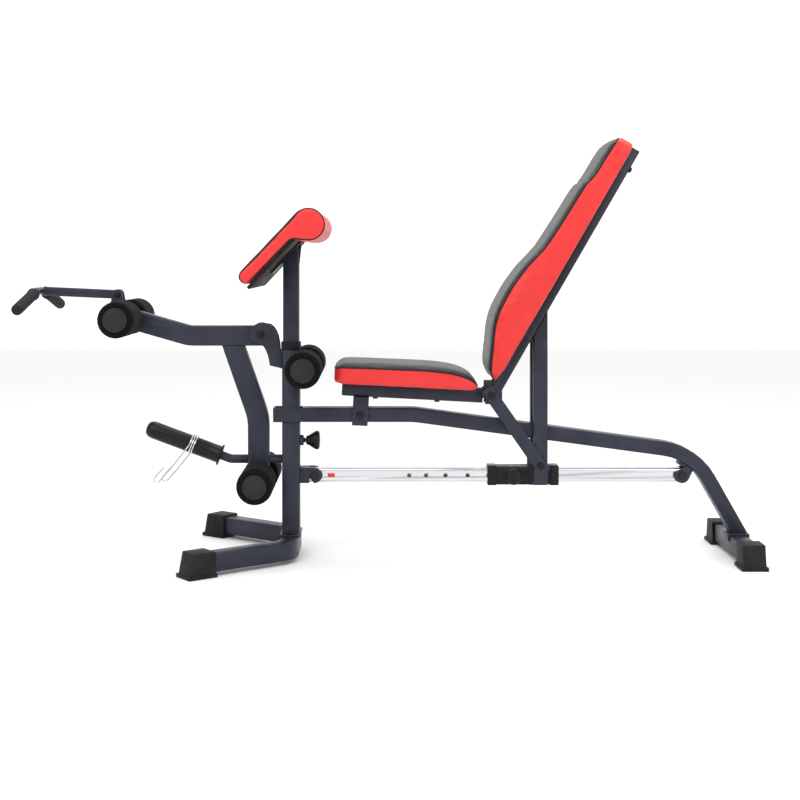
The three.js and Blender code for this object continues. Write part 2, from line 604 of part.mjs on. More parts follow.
// ---- foam rollers ----
function addRoller(parent, name, x, z) {
  const group = assembly(parent, [x, 0, z]);
  const outer = roller.inner + roller.foamLength;
  const tubeRadius = roller.tube / 2;
  const discFace = outer + gap;
  const end = discFace + roller.discThickness;
  const discRadius = roller.discDiameter / 2;
  const bore = tubeRadius - tubeWall;
  place(group, `${name}_roller_axle`, turned([
    [bore, -discFace], [bore - 3, -discFace], [bore - 3, -end], [discRadius - 8, -end],
    [discRadius, 4 - end], [discRadius, -discFace], [tubeRadius, -discFace], [tubeRadius, discFace],
    [discRadius, discFace], [discRadius, end - 4], [discRadius - 8, end], [0, end], [0, discFace],
    [bore, discFace], [bore, -discFace],
  ], 14), blackSteel);
  for (const [sideName, way] of [['left', 1], ['right', -1]]) {
    const [from, to] = [roller.inner, outer];
    const outside = roller.foamDiameter / 2;
    const edge = roller.foamEdge;
    const foamBore = tubeRadius + gap;
    const profile = [[foamBore, from], [outside - edge, from], [outside - 2, from + edge / 2],
      [outside, from + edge], [outside, to - edge], [outside - 2, to - edge / 2], [outside - edge, to],
      [foamBore, to], [foamBore, from]];
    place(group, `${name}_foam_${sideName}`, turned(profile, 16).rotateX(way > 0 ? 0 : PI), foam);
  }
}
addRoller(leverGroup, 'top', ...topAxis);
addRoller(leverGroup, 'ankle', ankleRoller.x, ankleRoller.height);
const kneeSleeveRadius = roller.tube / 2 + gap + kneeRoller.sleeveWall;
const kneeX = postRear + gap + kneeSleeveRadius;
addRoller(bench, 'knee', kneeX, kneeRoller.height);
const kneeHalf = roller.inner - 2;
const kneeBore = roller.tube / 2 + gap;
place(bench, 'knee_axle_sleeve', turned([
  [kneeBore, -kneeHalf], [kneeSleeveRadius, -kneeHalf], [kneeSleeveRadius, kneeHalf], [kneeBore, kneeHalf],
  [kneeBore, -kneeHalf],
], 20), framePaint, [kneeX, 0, kneeRoller.height]);

// ---- curl handle ----
const clevisFoot = armPoint(lever.rollerAlongTip, lever.armHeight / 2 + gap);
const curlPivot = [topAxis[0] - curl.pivotAhead, topAxis[1] + lever.armHeight / 2 + curl.pivotRise];
const rodHalf = curl.rodTube / 2;
const clevisInner = rodHalf + sideClearance;
const clevisY = clevisInner + plateThickness / 2;
const clevisWidth = clevisInner + plateThickness;
function clevisOutline() {
  const shape = new THREE.Shape();
  shape.moveTo(-curl.earRadius - 4, -60);
  shape.lineTo(-curl.earRadius, 0);
  shape.absarc(0, 0, curl.earRadius, PI, 0, true);
  shape.lineTo(curl.earRadius + 12, -60);
  shape.closePath();
  return shape;
}
const armSpace = span([-160, -60, -200], [160, 60, 0]).rotateY(riseAngle)
  .translate(clevisFoot[0] - curlPivot[0], 0, clevisFoot[1] - curlPivot[1]);
const stopTop = -rodHalf - 1.5;
place(leverGroup, 'curl_clevis', cut(join(
  plate(clevisOutline(), plateThickness, clevisY), plate(clevisOutline(), plateThickness, -clevisY),
  span([-curl.earRadius - 4, -clevisWidth, -60], [curl.earRadius + 12, clevisWidth, stopTop - 6]),
  span([-curl.earRadius - 1.5, -clevisWidth, -40], [-curl.earRadius + 3.5, clevisWidth, stopTop]),
), armSpace, boltHole(3 * curl.rodTube)), framePaint, [curlPivot[0], 0, curlPivot[1]]);
const curlBolt = { ...bolt, headWidth: 17, headThickness: 7 };
place(leverGroup, 'curl_pivot_bolt', throughBolt(2 * clevisWidth, curlBolt), blackSteel,
  [curlPivot[0], 0, curlPivot[1]]);

// Along the curl rod: local -X runs forward from the pivot.
const curlRod = assembly(leverGroup, [curlPivot[0], 0, curlPivot[1]], degToRad(curl.rodTilt));
const rodRear = plate(circle(rodHalf), curl.rodTube);
const rodRoute = Route.throughCorners([[0, 0, 0], [-curl.rodLength, 0, 0]], 0, [0, 1, 0]);
const swivelBore = at(pin(curl.swivel + 1, 90).rotateZ(PI / 2), -curl.rodLength, 0, 0);
place(curlRod, 'curl_rod', cut(
  join(sweep(rectangle(curl.rodTube, curl.rodTube, 3), rodRoute), rodRear),
  boltHole(2 * curl.rodTube), swivelBore,
), framePaint);

const washerStart = curl.rodLength + gap;
const handleX = -washerStart - curl.washerThickness - curl.barDiameter / 2 + 1;
const sag = atan2(curl.droop, curl.halfSpan - curl.flatHalf);
const handleEnd = (way) => [0, way * curl.halfSpan, -curl.droop];
const handleBar = roundBar([handleEnd(-1), [0, -curl.flatHalf, 0], [0, curl.flatHalf, 0], handleEnd(1)],
  curl.barDiameter, { radii: curl.bendRadius, side: [1, 0, 0] });
const washerX = -washerStart - curl.washerThickness / 2;
const stemLength = 44 + curl.washerThickness;
place(curlRod, 'curl_handle', join(
  at(handleBar, handleX, 0, 0),
  at(pin(curl.washerDiameter, curl.washerThickness).rotateZ(PI / 2), washerX, 0, 0),
  at(pin(curl.swivel, stemLength).rotateZ(PI / 2), washerX + 20, 0, 0),
), framePaint);
const alongSlope = (y) => (y - curl.flatHalf) / cos(sag);
for (const [name, way] of [['left', 1], ['right', -1]]) {
  const from = alongSlope(curl.gripStart);
  const to = alongSlope(curl.halfSpan) + 5;
  const bore = curl.barDiameter / 2 + gap;
  const outside = curl.gripDiameter / 2;
  const pocketEnd = to - 5 + gap;
  place(curlRod, `curl_grip_${name}`, turned([
    [bore, from], [outside + 2, from], [outside + 2, from + 6], [outside, from + 9], [outside, to - 4],
    [outside - 4, to], [0, to], [0, pocketEnd], [bore, pocketEnd], [bore, from],
  ], 16), rubber, [handleX, way * curl.flatHalf, 0], [way > 0 ? -sag : PI + sag, 0, 0]);
}

// ---- seat ----
const pivotAngle = atan2(recline.pivotHeight - beam.level, recline.pivotX - seat.pivotX);
const seatPivotRear = seatArm * cos(pivotAngle + degToRad(seat.tilt));
const seatGroup = assembly(bench, [seat.pivotX, 0, beam.level], degToRad(seat.tilt));
const seatTubeRear = seatPivotRear - seat.boltGap;
place(seatGroup, 'seat_tube', tube([[seat.tubeFront, 0, seat.tubeCentre], [seatTubeRear, 0, seat.tubeCentre]],
  seat.tubeWidth, seat.tubeHeight), framePaint);
const seatBracketInner = beam.width / 2 + sideClearance;
const seatBracketOuter = seatBracketInner + plateThickness;
const bracketHalf = seat.bracketLength / 2;
const bracketTop = seat.tubeCentre - seat.tubeHeight / 2 - gap;
place(seatGroup, 'seat_bracket', cut(
  span([-bracketHalf, -seatBracketOuter, -seat.bracketDrop], [bracketHalf, seatBracketOuter, bracketTop]),
  span([-2 * bracketHalf, -seatBracketInner, -2 * seat.bracketDrop],
    [2 * bracketHalf, seatBracketInner, bracketTop - plateThickness]),
  boltHole(4 * beam.width),
), framePaint);
place(bench, 'seat_pivot_bolt', throughBolt(2 * seatBracketOuter), blackSteel, [seat.pivotX, 0, beam.level]);

function seatOutline() {
  const shape = new THREE.Shape();
  const side = seat.padBottom + gap + seat.padSide;
  const top = side + seat.padCrown;
  const bottom = seat.padBottom + gap;
  shape.moveTo(seat.padFront + 10, bottom);
  shape.lineTo(seat.padRear - 20, bottom);
  shape.quadraticCurveTo(seat.padRear, bottom + 4, seat.padRear - 6, bottom + 26);
  const slopeStart = seat.padRear - 1.3 * seat.rearSlope;
  shape.quadraticCurveTo(seat.padRear - seat.rearSlope / 2, side + 8, slopeStart, top);
  shape.lineTo(seat.padFront + 40, top - 4);
  shape.quadraticCurveTo(seat.padFront, top - 10, seat.padFront, side - 20);
  shape.lineTo(seat.padFront, bottom + 10);
  shape.closePath();
  return shape;
}
place(seatGroup, 'seat_pad', plate(seatOutline(), 2 * seat.halfWidth), redVinyl);

// ---- slider on the rail ----
const sliderGroup = assembly(bench, [0, 0, rail.level]);
const sleeveInner = rail.tube + 2 * slider.play + 2 * slider.wall;
const sleeveOuter = sleeveInner + 2 * slider.wall;
const sleeveFront = slider.front + slider.capLength;
const sleeveRear = slider.front + slider.length - slider.capLength;
const sliderRise = recline.sliderPivotHeight - rail.level;
const clevisPlateInner = sleeveOuter / 2;
const clevisPlateOuter = clevisPlateInner + plateThickness;
const pinBoss = slider.knobNeck - 4;
const sleeveHalf = sleeveOuter / 2;
const boreHalf = sleeveInner / 2;
const clevisCheek = (way) => span(
  [recline.sliderPivotX - slider.clevisFront, way * (clevisPlateInner - 1), -sleeveHalf],
  [recline.sliderPivotX + slider.clevisRear, way * clevisPlateOuter, sliderRise + slider.clevisRear - 6],
);
place(sliderGroup, 'slider_sleeve', cut(
  join(
    span([sleeveFront + gap, -sleeveHalf, -sleeveHalf], [sleeveRear - gap, sleeveHalf, sleeveHalf]),
    clevisCheek(1), clevisCheek(-1),
    at(pin(22, pinBoss + 1, 16), slider.pinX, -sleeveHalf - (pinBoss - 1) / 2, 0),
  ),
  span([0, -boreHalf, -boreHalf], [2 * sleeveRear, boreHalf, boreHalf]),
  boltHole(4 * rail.tube, recline.sliderPivotX, sliderRise),
  at(pin(slider.pinDiameter + 1, 40, 12), slider.pinX, -sleeveHalf - 6, 0),
), blackSteel);
const capBore = rail.tube + 2 * slider.play;
const capRoute = Route.throughCorners([[0, 0, 0], [slider.capLength, 0, 0]], 0, [0, 1, 0]);
for (const [name, x] of [['front', slider.front], ['rear', sleeveRear]]) {
  place(sliderGroup, `slider_cap_${name}`, cut(
    sweep(rectangle(slider.capHeight, slider.capHeight, 5), capRoute),
    block(4 * slider.capLength, capBore, capBore),
  ), blackPlastic, [x, 0, 0]);
}
const knobBase = sleeveHalf + slider.knobNeck;
const knobTip = knobBase + slider.knobLength;
const sliderPinRadius = slider.pinDiameter / 2;
const sliderKnobRadius = slider.knobDiameter / 2;
place(sliderGroup, 'slider_pull_pin', turned([
  [0, boreHalf + 1], [sliderPinRadius, boreHalf + 1], [sliderPinRadius, knobBase], [12, knobBase],
  [sliderKnobRadius - 2, knobBase + 5], [sliderKnobRadius, knobBase + 8],
  [sliderKnobRadius - 1, knobTip - 4], [15, knobTip], [0, knobTip + 1],
], 20).rotateX(PI), blackPlastic, [slider.pinX, 0, 0]);

// ---- backrest ----
// Steps out from the middle: seat tube, ears, then beam or rails, then diagonals.
const railInner = Math.max(
  seat.tubeWidth / 2 + sideClearance + plateThickness + gap,
  beam.width / 2 + sideClearance,
  clevisPlateOuter + sideClearance / 2,
);
const earOuter = railInner - gap;
const earInner = earOuter - plateThickness;
const railCentre = railInner + backRail.width / 2;
const railOuter = railInner + backRail.width;
const diagonalY = railOuter + gap + diagonal.thickness / 2;
const backGroup = assembly(bench, [recline.pivotX, 0, recline.pivotHeight]);
const backSlope = assembly(backGroup, [0, 0, 0], -degToRad(recline.restAngle));
const linkEnd = [recline.sliderPivotX - recline.pivotX, recline.sliderPivotHeight - recline.pivotHeight];
const railMiddle = backRail.rearFace + backRail.height / 2;
const linkDirection = [linkEnd[0] / linkLength, linkEnd[1] / linkLength];
const underRail = span([-500, -200, backRail.rearFace - gap], [900, 200, 300])
  .rotateY(-degToRad(recline.restAngle));
const braceTopHeight = linkEnd[0] * tan(degToRad(recline.restAngle)) + brace.width;
for (const [name, way] of [['left', 1], ['right', -1]]) {
  place(backSlope, `backrest_rail_${name}`, cut(
    tube([[backRail.bottom, 0, railMiddle], [backRail.top, 0, railMiddle]], backRail.width, backRail.height),
    boltHole(2 * backRail.width),
  ), framePaint, [0, way * railCentre, 0]);
  const braceEnds = [[linkEnd[0], 0, brace.bottom - recline.pivotHeight], [linkEnd[0], 0, braceTopHeight]];
  place(backGroup, `backrest_brace_${name}`, cut(
    tube(braceEnds, brace.thickness, brace.width),
    underRail, boltHole(2 * brace.thickness, ...linkEnd),
  ), framePaint, [0, way * railCentre, 0]);
  const reach = (along) => [linkDirection[0] * along, linkDirection[1] * along];
  const [x0, z0] = reach(-diagonal.overrun);
  const [x1, z1] = reach(linkLength + diagonal.overrun);
  const linkRoute = Route.throughCorners([[x0, 0, z0], [x1, 0, z1]], 0, [0, 1, 0]);
  place(backGroup, `recline_link_${name}`, cut(
    sweep(rectangle(diagonal.thickness, diagonal.width, 1), linkRoute),
    boltHole(8 * diagonal.thickness), boltHole(8 * diagonal.thickness, ...linkEnd),
  ), framePaint, [0, way * diagonalY, 0]);
}
const earPlate = (way) => span(
  [-ear.front, way * earInner, -ear.bottom],
  [ear.rear, way * earOuter, ear.top],
);
const earWeb = span(
  [ear.rear - plateThickness, -earInner - 1, -ear.bottom],
  [ear.rear, earInner + 1, ear.top],
);
place(backGroup, 'recline_ears', cut(
  join(earPlate(1), earPlate(-1), earWeb),
  boltHole(4 * earOuter),
), framePaint);
place(backSlope, 'backrest_cross_plate', span(
  [crossPlate.at, -railInner + gap, railMiddle + backRail.height / 2 - plateThickness],
  [crossPlate.at + crossPlate.length, railInner - gap, railMiddle + backRail.height / 2]), framePaint);
const linkGrip = 2 * diagonalY + diagonal.thickness;
place(backGroup, 'recline_bolt', throughBolt(linkGrip), blackSteel);
place(backGroup, 'slider_bolt', throughBolt(linkGrip), blackSteel, [linkEnd[0], 0, linkEnd[1]]);

// The pad's side, from its lower edge: thick over the lumbar hump, then thinner to a rounded top.
function backOutline() {
  const shape = new THREE.Shape();
  const base = railMiddle + backRail.height / 2 + gap;
  const { start, end, hipAt, lumbarAt, waistAt, neckAt } = backPad;
  const { hipDepth, lumbarDepth, waistDepth, neckDepth, topDepth } = backPad;
  shape.moveTo(start + 8, base);
  shape.lineTo(end - 8, base);
  shape.quadraticCurveTo(end + 3, base + topDepth / 4, end, base + topDepth * 0.6);
  shape.quadraticCurveTo(end - 6, base + topDepth, end - 40, base + topDepth);
  shape.lineTo(neckAt, base + neckDepth);
  shape.lineTo(waistAt, base + waistDepth);
  shape.quadraticCurveTo(waistAt - 55, base + waistDepth + 6, waistAt - 95, base + lumbarDepth - 6);
  shape.quadraticCurveTo(lumbarAt, base + lumbarDepth + 8, lumbarAt - 65, base + lumbarDepth - 6);
  shape.lineTo(hipAt, base + hipDepth);
  shape.quadraticCurveTo(start + 8, base + hipDepth / 2, start + 2, base + 8);
  shape.quadraticCurveTo(start + 2, base + 2, start + 8, base);
  return shape;
}
place(backSlope, 'backrest_pad', plate(backOutline(), 2 * backPad.halfWidth), redVinyl);

// ---- origin under the middle of the box ----
bench.updateMatrixWorld(true);
const box = new THREE.Box3().setFromObject(bench, true);
const middle = box.getCenter(new THREE.Vector3());
bench.position.set(-middle.x, -middle.y, -box.min.z);

export default bench;
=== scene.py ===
from math import sin, cos, pi, radians, sqrt
import bpy
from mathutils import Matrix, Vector
from mathutils.bvhtree import BVHTree


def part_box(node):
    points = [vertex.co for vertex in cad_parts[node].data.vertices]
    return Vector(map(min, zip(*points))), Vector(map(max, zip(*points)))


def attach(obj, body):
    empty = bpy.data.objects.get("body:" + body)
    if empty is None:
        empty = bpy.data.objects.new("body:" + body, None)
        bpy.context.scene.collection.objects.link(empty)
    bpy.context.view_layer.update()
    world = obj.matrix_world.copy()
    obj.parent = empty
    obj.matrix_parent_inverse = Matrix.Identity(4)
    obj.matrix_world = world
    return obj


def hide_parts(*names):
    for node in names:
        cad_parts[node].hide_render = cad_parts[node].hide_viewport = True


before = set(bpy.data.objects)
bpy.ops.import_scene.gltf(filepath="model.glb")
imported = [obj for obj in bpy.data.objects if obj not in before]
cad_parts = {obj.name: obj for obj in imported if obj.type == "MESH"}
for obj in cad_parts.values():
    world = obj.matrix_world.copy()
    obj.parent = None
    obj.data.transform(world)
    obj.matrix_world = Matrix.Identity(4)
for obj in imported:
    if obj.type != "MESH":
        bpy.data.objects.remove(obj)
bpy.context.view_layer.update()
print("bench frame loaded:", len(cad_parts), "nodes")


# places on the bench
def middle(node):  # centre of a node's box
    low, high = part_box(node)
    return Vector([(a + b) / 2 for a, b in zip(low, high)])


benchShift = middle("post_collar").x + 0.246  # the bench's own X = 0, in this frame


def fromBench(x, y, z):  # millimetres along the bench to metres in this frame
    return Vector((x / 1000 + benchShift, y / 1000, z / 1000))


# small modelling tools
def clearSelection():
    for each in list(bpy.context.selected_objects):
        each.select_set(False)
    bpy.context.view_layer.objects.active = None


def pick(piece):
    clearSelection()
    piece.select_set(True)
    bpy.context.view_layer.objects.active = piece


def settle(piece):  # the place goes into the mesh
    pick(piece)
    bpy.ops.object.transform_apply(location=True, rotation=True, scale=True)


def applyAll(piece):
    pick(piece)
    for modifier in list(piece.modifiers):
        bpy.ops.object.modifier_apply(modifier=modifier.name)


def outward(piece):
    pick(piece)
    bpy.ops.object.mode_set(mode="EDIT")
    bpy.ops.mesh.select_all(action="SELECT")
    bpy.ops.mesh.remove_doubles(threshold=0.00001)
    bpy.ops.mesh.normals_make_consistent(inside=False)
    bpy.ops.object.mode_set(mode="OBJECT")


def roundEdges(piece, width, segments=2, limit=35):
    bevel = piece.modifiers.new("edges", "BEVEL")
    bevel.width = width
    bevel.segments = segments
    bevel.limit_method = "ANGLE"
    bevel.angle_limit = radians(limit)
    bevel.harden_normals = False
    applyAll(piece)


def smoothBy(piece, angle=35):
    pick(piece)
    bpy.ops.object.shade_smooth_by_angle(angle=radians(angle))


def finish(piece, material, body, replaced=()):
    if material is not None:
        piece.data.materials.clear()
        piece.data.materials.append(material)
    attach(piece, body)
    if replaced:
        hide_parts(*replaced)
    return piece


def joinPieces(name, pieces):
    clearSelection()
    for piece in pieces:
        piece.select_set(True)
    bpy.context.view_layer.objects.active = pieces[0]
    if len(pieces) > 1:
        bpy.ops.object.join()
    whole = bpy.context.view_layer.objects.active
    whole.name = name
    whole.data.name = name
    return whole


def turnedForm(name, profile, place, direction, sides=48):  # [radius, height] rings, stacked along the axis
    clearSelection()
    radius, height = profile[0]
    bpy.ops.mesh.primitive_circle_add(vertices=sides, radius=radius, fill_type="NGON", location=(0, 0, height))
    piece = bpy.context.active_object
    piece.name = name
    piece.data.name = name
    settle(piece)
    bpy.ops.object.mode_set(mode="EDIT")
    bpy.ops.mesh.select_mode(type="FACE")
    bpy.ops.mesh.select_all(action="SELECT")
    for nextRadius, nextHeight in profile[1:]:
        bpy.ops.mesh.extrude_region_move(TRANSFORM_OT_translate={"value": (0, 0, nextHeight - height)})
        grow = nextRadius / radius
        if abs(grow - 1) > 0.0001:
            bpy.ops.transform.resize(value=(grow, grow, 1), center_override=(0, 0, 0))
        radius, height = nextRadius, nextHeight
    bpy.ops.object.mode_set(mode="OBJECT")
    piece.rotation_mode = "QUATERNION"
    piece.rotation_quaternion = Vector(direction).to_track_quat("Z", "Y")
    piece.location = place
    settle(piece)
    outward(piece)
    return piece


def bentBar(name, corners, diameter, bend, steps=8, sides=5):  # a round bar with round bends
    points = [Vector(corners[0])]
    for before, corner, after in zip(corners, corners[1:], corners[2:]):
        corner = Vector(corner)
        inward = (Vector(before) - corner).normalized()
        onward = (Vector(after) - corner).normalized()
        half = (pi - inward.angle(onward)) / 2
        reach = bend * sin(half) / cos(half)
        start, end = corner + inward * reach, corner + onward * reach
        for k in range(steps + 1):
            t = k / steps
            points.append(start * (1 - t) ** 2 + corner * 2 * t * (1 - t) + end * t ** 2)
    points.append(Vector(corners[-1]))
    return wire(name, points, diameter, sides)


def wire(name, points, diameter, sides=5):
    curve = bpy.data.curves.new(name, "CURVE")
    curve.dimensions = "3D"
    curve.bevel_depth = diameter / 2
    curve.bevel_resolution = sides
    curve.use_fill_caps = True
    spline = curve.splines.new("POLY")
    spline.points.add(len(points) - 1)
    for point, place in zip(spline.points, points):
        point.co = (*place, 1)
    piece = bpy.data.objects.new(name, curve)
    bpy.context.collection.objects.link(piece)
    pick(piece)
    bpy.ops.object.convert(target="MESH")
    piece = bpy.context.active_object
    piece.data.name = name
    outward(piece)
    smoothBy(piece, 50)
    return piece


def blockAt(name, place, size, rotation=(0, 0, 0), edge=0.001):
    clearSelection()
    bpy.ops.mesh.primitive_cube_add(size=1, location=place, rotation=rotation, scale=size)
    piece = bpy.context.active_object
    piece.name = name
    piece.data.name = name
    settle(piece)
    roundEdges(piece, edge, 2)
    return piece


def mergedCopy(name, node):  # a steel part's own shape, its corners merged so that its edges can be rounded
    source = bpy.data.objects[node]
    piece = source.copy()
    piece.data = source.data.copy()
    piece.name = name
    piece.data.name = name
    bpy.context.collection.objects.link(piece)
    piece.parent = None
    pick(piece)
    bpy.ops.object.mode_set(mode="EDIT")
    bpy.ops.mesh.select_all(action="SELECT")
    bpy.ops.mesh.remove_doubles(threshold=0.00002)
    bpy.ops.mesh.dissolve_limited(angle_limit=radians(0.5))
    bpy.ops.object.mode_set(mode="OBJECT")
    return piece


# materials
def startMaterial(name, colour, roughness, metallic=0.0):
    material = bpy.data.materials.new(name)
    material.use_nodes = True
    shader = material.node_tree.nodes["Principled BSDF"]
    shader.inputs["Base Color"].default_value = (*colour, 1)
    shader.inputs["Roughness"].default_value = roughness
    shader.inputs["Metallic"].default_value = metallic
    return material, material.node_tree, shader


def addNoise(tree, scale, detail=3, stretch=None):
    place = tree.nodes.new("ShaderNodeTexCoord")
    noise = tree.nodes.new("ShaderNodeTexNoise")
    noise.inputs["Scale"].default_value = scale
    noise.inputs["Detail"].default_value = detail
    if stretch:
        mapping = tree.nodes.new("ShaderNodeMapping")
        mapping.inputs["Scale"].default_value = stretch
        tree.links.new(place.outputs["Object"], mapping.inputs["Vector"])
        tree.links.new(mapping.outputs["Vector"], noise.inputs["Vector"])
    else:
        tree.links.new(place.outputs["Object"], noise.inputs["Vector"])
    return noise.outputs["Fac"]


def addCells(tree, scale):
    place = tree.nodes.new("ShaderNodeTexCoord")
    cells = tree.nodes.new("ShaderNodeTexVoronoi")
    cells.feature = "DISTANCE_TO_EDGE"
    cells.inputs["Scale"].default_value = scale
    tree.links.new(place.outputs["Object"], cells.inputs["Vector"])
    return cells.outputs["Distance"]


def varyColour(tree, shader, factor, dark, light):
    ramp = tree.nodes.new("ShaderNodeValToRGB")
    ramp.color_ramp.elements[0].position = 0.3
    ramp.color_ramp.elements[0].color = (*dark, 1)
    ramp.color_ramp.elements[1].position = 0.7
    ramp.color_ramp.elements[1].color = (*light, 1)
    tree.links.new(factor, ramp.inputs["Fac"])
    tree.links.new(ramp.outputs["Color"], shader.inputs["Base Color"])


def varyRoughness(tree, shader, factor, low, high):
    spread = tree.nodes.new("ShaderNodeMapRange")
    spread.inputs["From Min"].default_value = 0.3
    spread.inputs["From Max"].default_value = 0.7
    spread.inputs["To Min"].default_value = low
    spread.inputs["To Max"].default_value = high
    tree.links.new(factor, spread.inputs["Value"])
    tree.links.new(spread.outputs["Result"], shader.inputs["Roughness"])


def addBump(tree, shader, heights, strength, depth):
    height = heights[0]
    for other in heights[1:]:
        total = tree.nodes.new("ShaderNodeMath")
        total.operation = "ADD"
        tree.links.new(height, total.inputs[0])
        tree.links.new(other, total.inputs[1])
        height = total.outputs["Value"]
    bump = tree.nodes.new("ShaderNodeBump")
    bump.inputs["Strength"].default_value = strength
    bump.inputs["Distance"].default_value = depth
    tree.links.new(height, bump.inputs["Height"])
    tree.links.new(bump.outputs["Normal"], shader.inputs["Normal"])


def paintMaterial(name, dark, light, low, high):  # baked powder paint with a fine orange peel
    material, tree, shader = startMaterial(name, light, low, 0.25)
    varyColour(tree, shader, addNoise(tree, 14), dark, light)
    varyRoughness(tree, shader, addNoise(tree, 60), low, high)
    addBump(tree, shader, [addNoise(tree, 900, 2)], 0.25, 0.0004)
    shader.inputs["Specular IOR Level"].default_value = 0.2
    shader.inputs["Coat Weight"].default_value = 0.06
    shader.inputs["Coat Roughness"].default_value = 0.25
    return material


def chromeMaterial(name, roughness):
    material, tree, shader = startMaterial(name, (0.62, 0.63, 0.65), roughness, 1.0)
    varyRoughness(tree, shader, addNoise(tree, 40, 4, (0.08, 1, 1)), roughness * 0.7, roughness * 1.8)
    addBump(tree, shader, [addNoise(tree, 240, 2, (0.05, 1, 1))], 0.05, 0.0003)
    return material


def vinylMaterial(name, dark, light, roughness):  # grained upholstery vinyl
    material, tree, shader = startMaterial(name, light, roughness)
    varyColour(tree, shader, addNoise(tree, 9, 4), dark, light)
    varyRoughness(tree, shader, addNoise(tree, 120, 3), roughness * 0.85, roughness * 1.2)
    addBump(tree, shader, [addCells(tree, 620), addNoise(tree, 38, 3)], 0.3, 0.0008)
    shader.inputs["Specular IOR Level"].default_value = 0.28
    shader.inputs["Sheen Weight"].default_value = 0.04
    return material


def foamMaterial(name):
    material, tree, shader = startMaterial(name, (0.012, 0.012, 0.013), 0.95)
    varyColour(tree, shader, addNoise(tree, 420, 4), (0.002, 0.002, 0.0025), (0.008, 0.008, 0.009))
    addBump(tree, shader, [addCells(tree, 480), addNoise(tree, 900, 3)], 0.7, 0.0012)
    shader.inputs["Specular IOR Level"].default_value = 0.1
    shader.inputs["Sheen Weight"].default_value = 0.02
    return material


def mouldedMaterial(name, dark, light, low, high, grain=700):  # moulded plastic or rubber
    material, tree, shader = startMaterial(name, light, low)
    varyColour(tree, shader, addNoise(tree, 22), dark, light)
    varyRoughness(tree, shader, addNoise(tree, 90), low, high)
    addBump(tree, shader, [addNoise(tree, grain, 2)], 0.3, 0.0005)
    shader.inputs["Specular IOR Level"].default_value = 0.16
    return material


framePaint = paintMaterial("framePaint", (0.022, 0.024, 0.037), (0.031, 0.034, 0.050), 0.34, 0.46)
blackPaint = paintMaterial("blackPaint", (0.008, 0.008, 0.010), (0.014, 0.014, 0.017), 0.35, 0.5)
railChrome = chromeMaterial("railChrome", 0.2)
wireChrome = chromeMaterial("wireChrome", 0.1)
redVinyl = vinylMaterial("redVinyl", (0.60, 0.024, 0.022), (0.68, 0.034, 0.030), 0.42)
blackVinyl = vinylMaterial("blackVinyl", (0.013, 0.013, 0.014), (0.022, 0.022, 0.023), 0.42)
pipingVinyl = mouldedMaterial("pipingVinyl", (0.008, 0.008, 0.009), (0.014, 0.014, 0.015), 0.4, 0.55)
rollerFoam = foamMaterial("rollerFoam")
capPlastic = mouldedMaterial("capPlastic", (0.014, 0.014, 0.016), (0.022, 0.022, 0.025), 0.45, 0.6)
knobPlastic = mouldedMaterial("knobPlastic", (0.008, 0.008, 0.009), (0.013, 0.013, 0.015), 0.22, 0.34, 300)
footRubber = mouldedMaterial("footRubber", (0.008, 0.008, 0.009), (0.016, 0.016, 0.017), 0.5, 0.7)
gripRubber = mouldedMaterial("gripRubber", (0.014, 0.014, 0.015), (0.024, 0.024, 0.026), 0.6, 0.8)
boltSteel = paintMaterial("boltSteel", (0.012, 0.012, 0.014), (0.022, 0.022, 0.026), 0.3, 0.4)
boardBlack = mouldedMaterial("boardBlack", (0.006, 0.006, 0.007), (0.012, 0.012, 0.013), 0.6, 0.75)
stickerRed = mouldedMaterial("stickerRed", (0.62, 0.03, 0.03), (0.72, 0.05, 0.045), 0.35, 0.45)
print("finishes mixed")

# steel frame
steelParts = {
    "edge": 0.0009,
    "frame": ["front_foot_tube", "rear_foot_tube", "front_post", "main_beam", "beam_clamp_bracket", "rear_foot_plate",
              "rail_front_bracket", "rail_rear_bracket", "lever_bracket", "knee_axle_sleeve"],
    "preacher": ["preacher_post"],
    "lever": ["lever_arm", "lever_leg", "weight_bar", "curl_clevis"],
    "curl_arm": ["curl_rod"],
    "seat": ["seat_tube", "seat_bracket"],
    "backrest": ["backrest_rail_left", "backrest_rail_right", "backrest_brace_left", "backrest_brace_right",
                 "recline_link_left", "recline_link_right", "recline_ears", "backrest_cross_plate"],
}
for body in ["frame", "preacher", "lever", "curl_arm", "seat", "backrest"]:
    for node in steelParts[body]:
        part = mergedCopy("painted_" + node, node)
        roundEdges(part, steelParts["edge"], 2, 40)
        smoothBy(part, 46)
        finish(part, framePaint, body, (node,))
blackParts = {
    "preacher": ["preacher_mount"],
    "frame": ["lever_pivot_bolt", "seat_pivot_bolt"],
    "lever": ["curl_pivot_bolt"],
    "slider": ["slider_sleeve"],
    "backrest": ["recline_bolt", "slider_bolt"],
}
for body, nodes in blackParts.items():
    for node in nodes:
        part = mergedCopy("black_" + node, node)
        roundEdges(part, 0.0008, 2, 40)
        smoothBy(part, 46)
        finish(part, blackPaint, body, (node,))
part = mergedCopy("chrome_rail", "adjusting_rail")
roundEdges(part, 0.0006, 2, 50)
smoothBy(part, 46)
finish(part, railChrome, "frame", ("adjusting_rail",))
mouldedParts = {
    "edge": 0.0022,
    "frame": ["front_foot_cap_left", "front_foot_cap_right", "rear_foot_cap_left", "rear_foot_cap_right", "post_collar"],
    "slider": ["slider_cap_front", "slider_cap_rear"],
}
for body in ["frame", "slider"]:
    for node in mouldedParts[body]:
        isFoot = "foot" in node
        part = mergedCopy("moulded_" + node, node)
        roundEdges(part, mouldedParts["edge"], 3, 40)
        smoothBy(part, 40)
        finish(part, footRubber if isFoot else knobPlastic, body, (node,))
print("steel and moulded parts rounded")

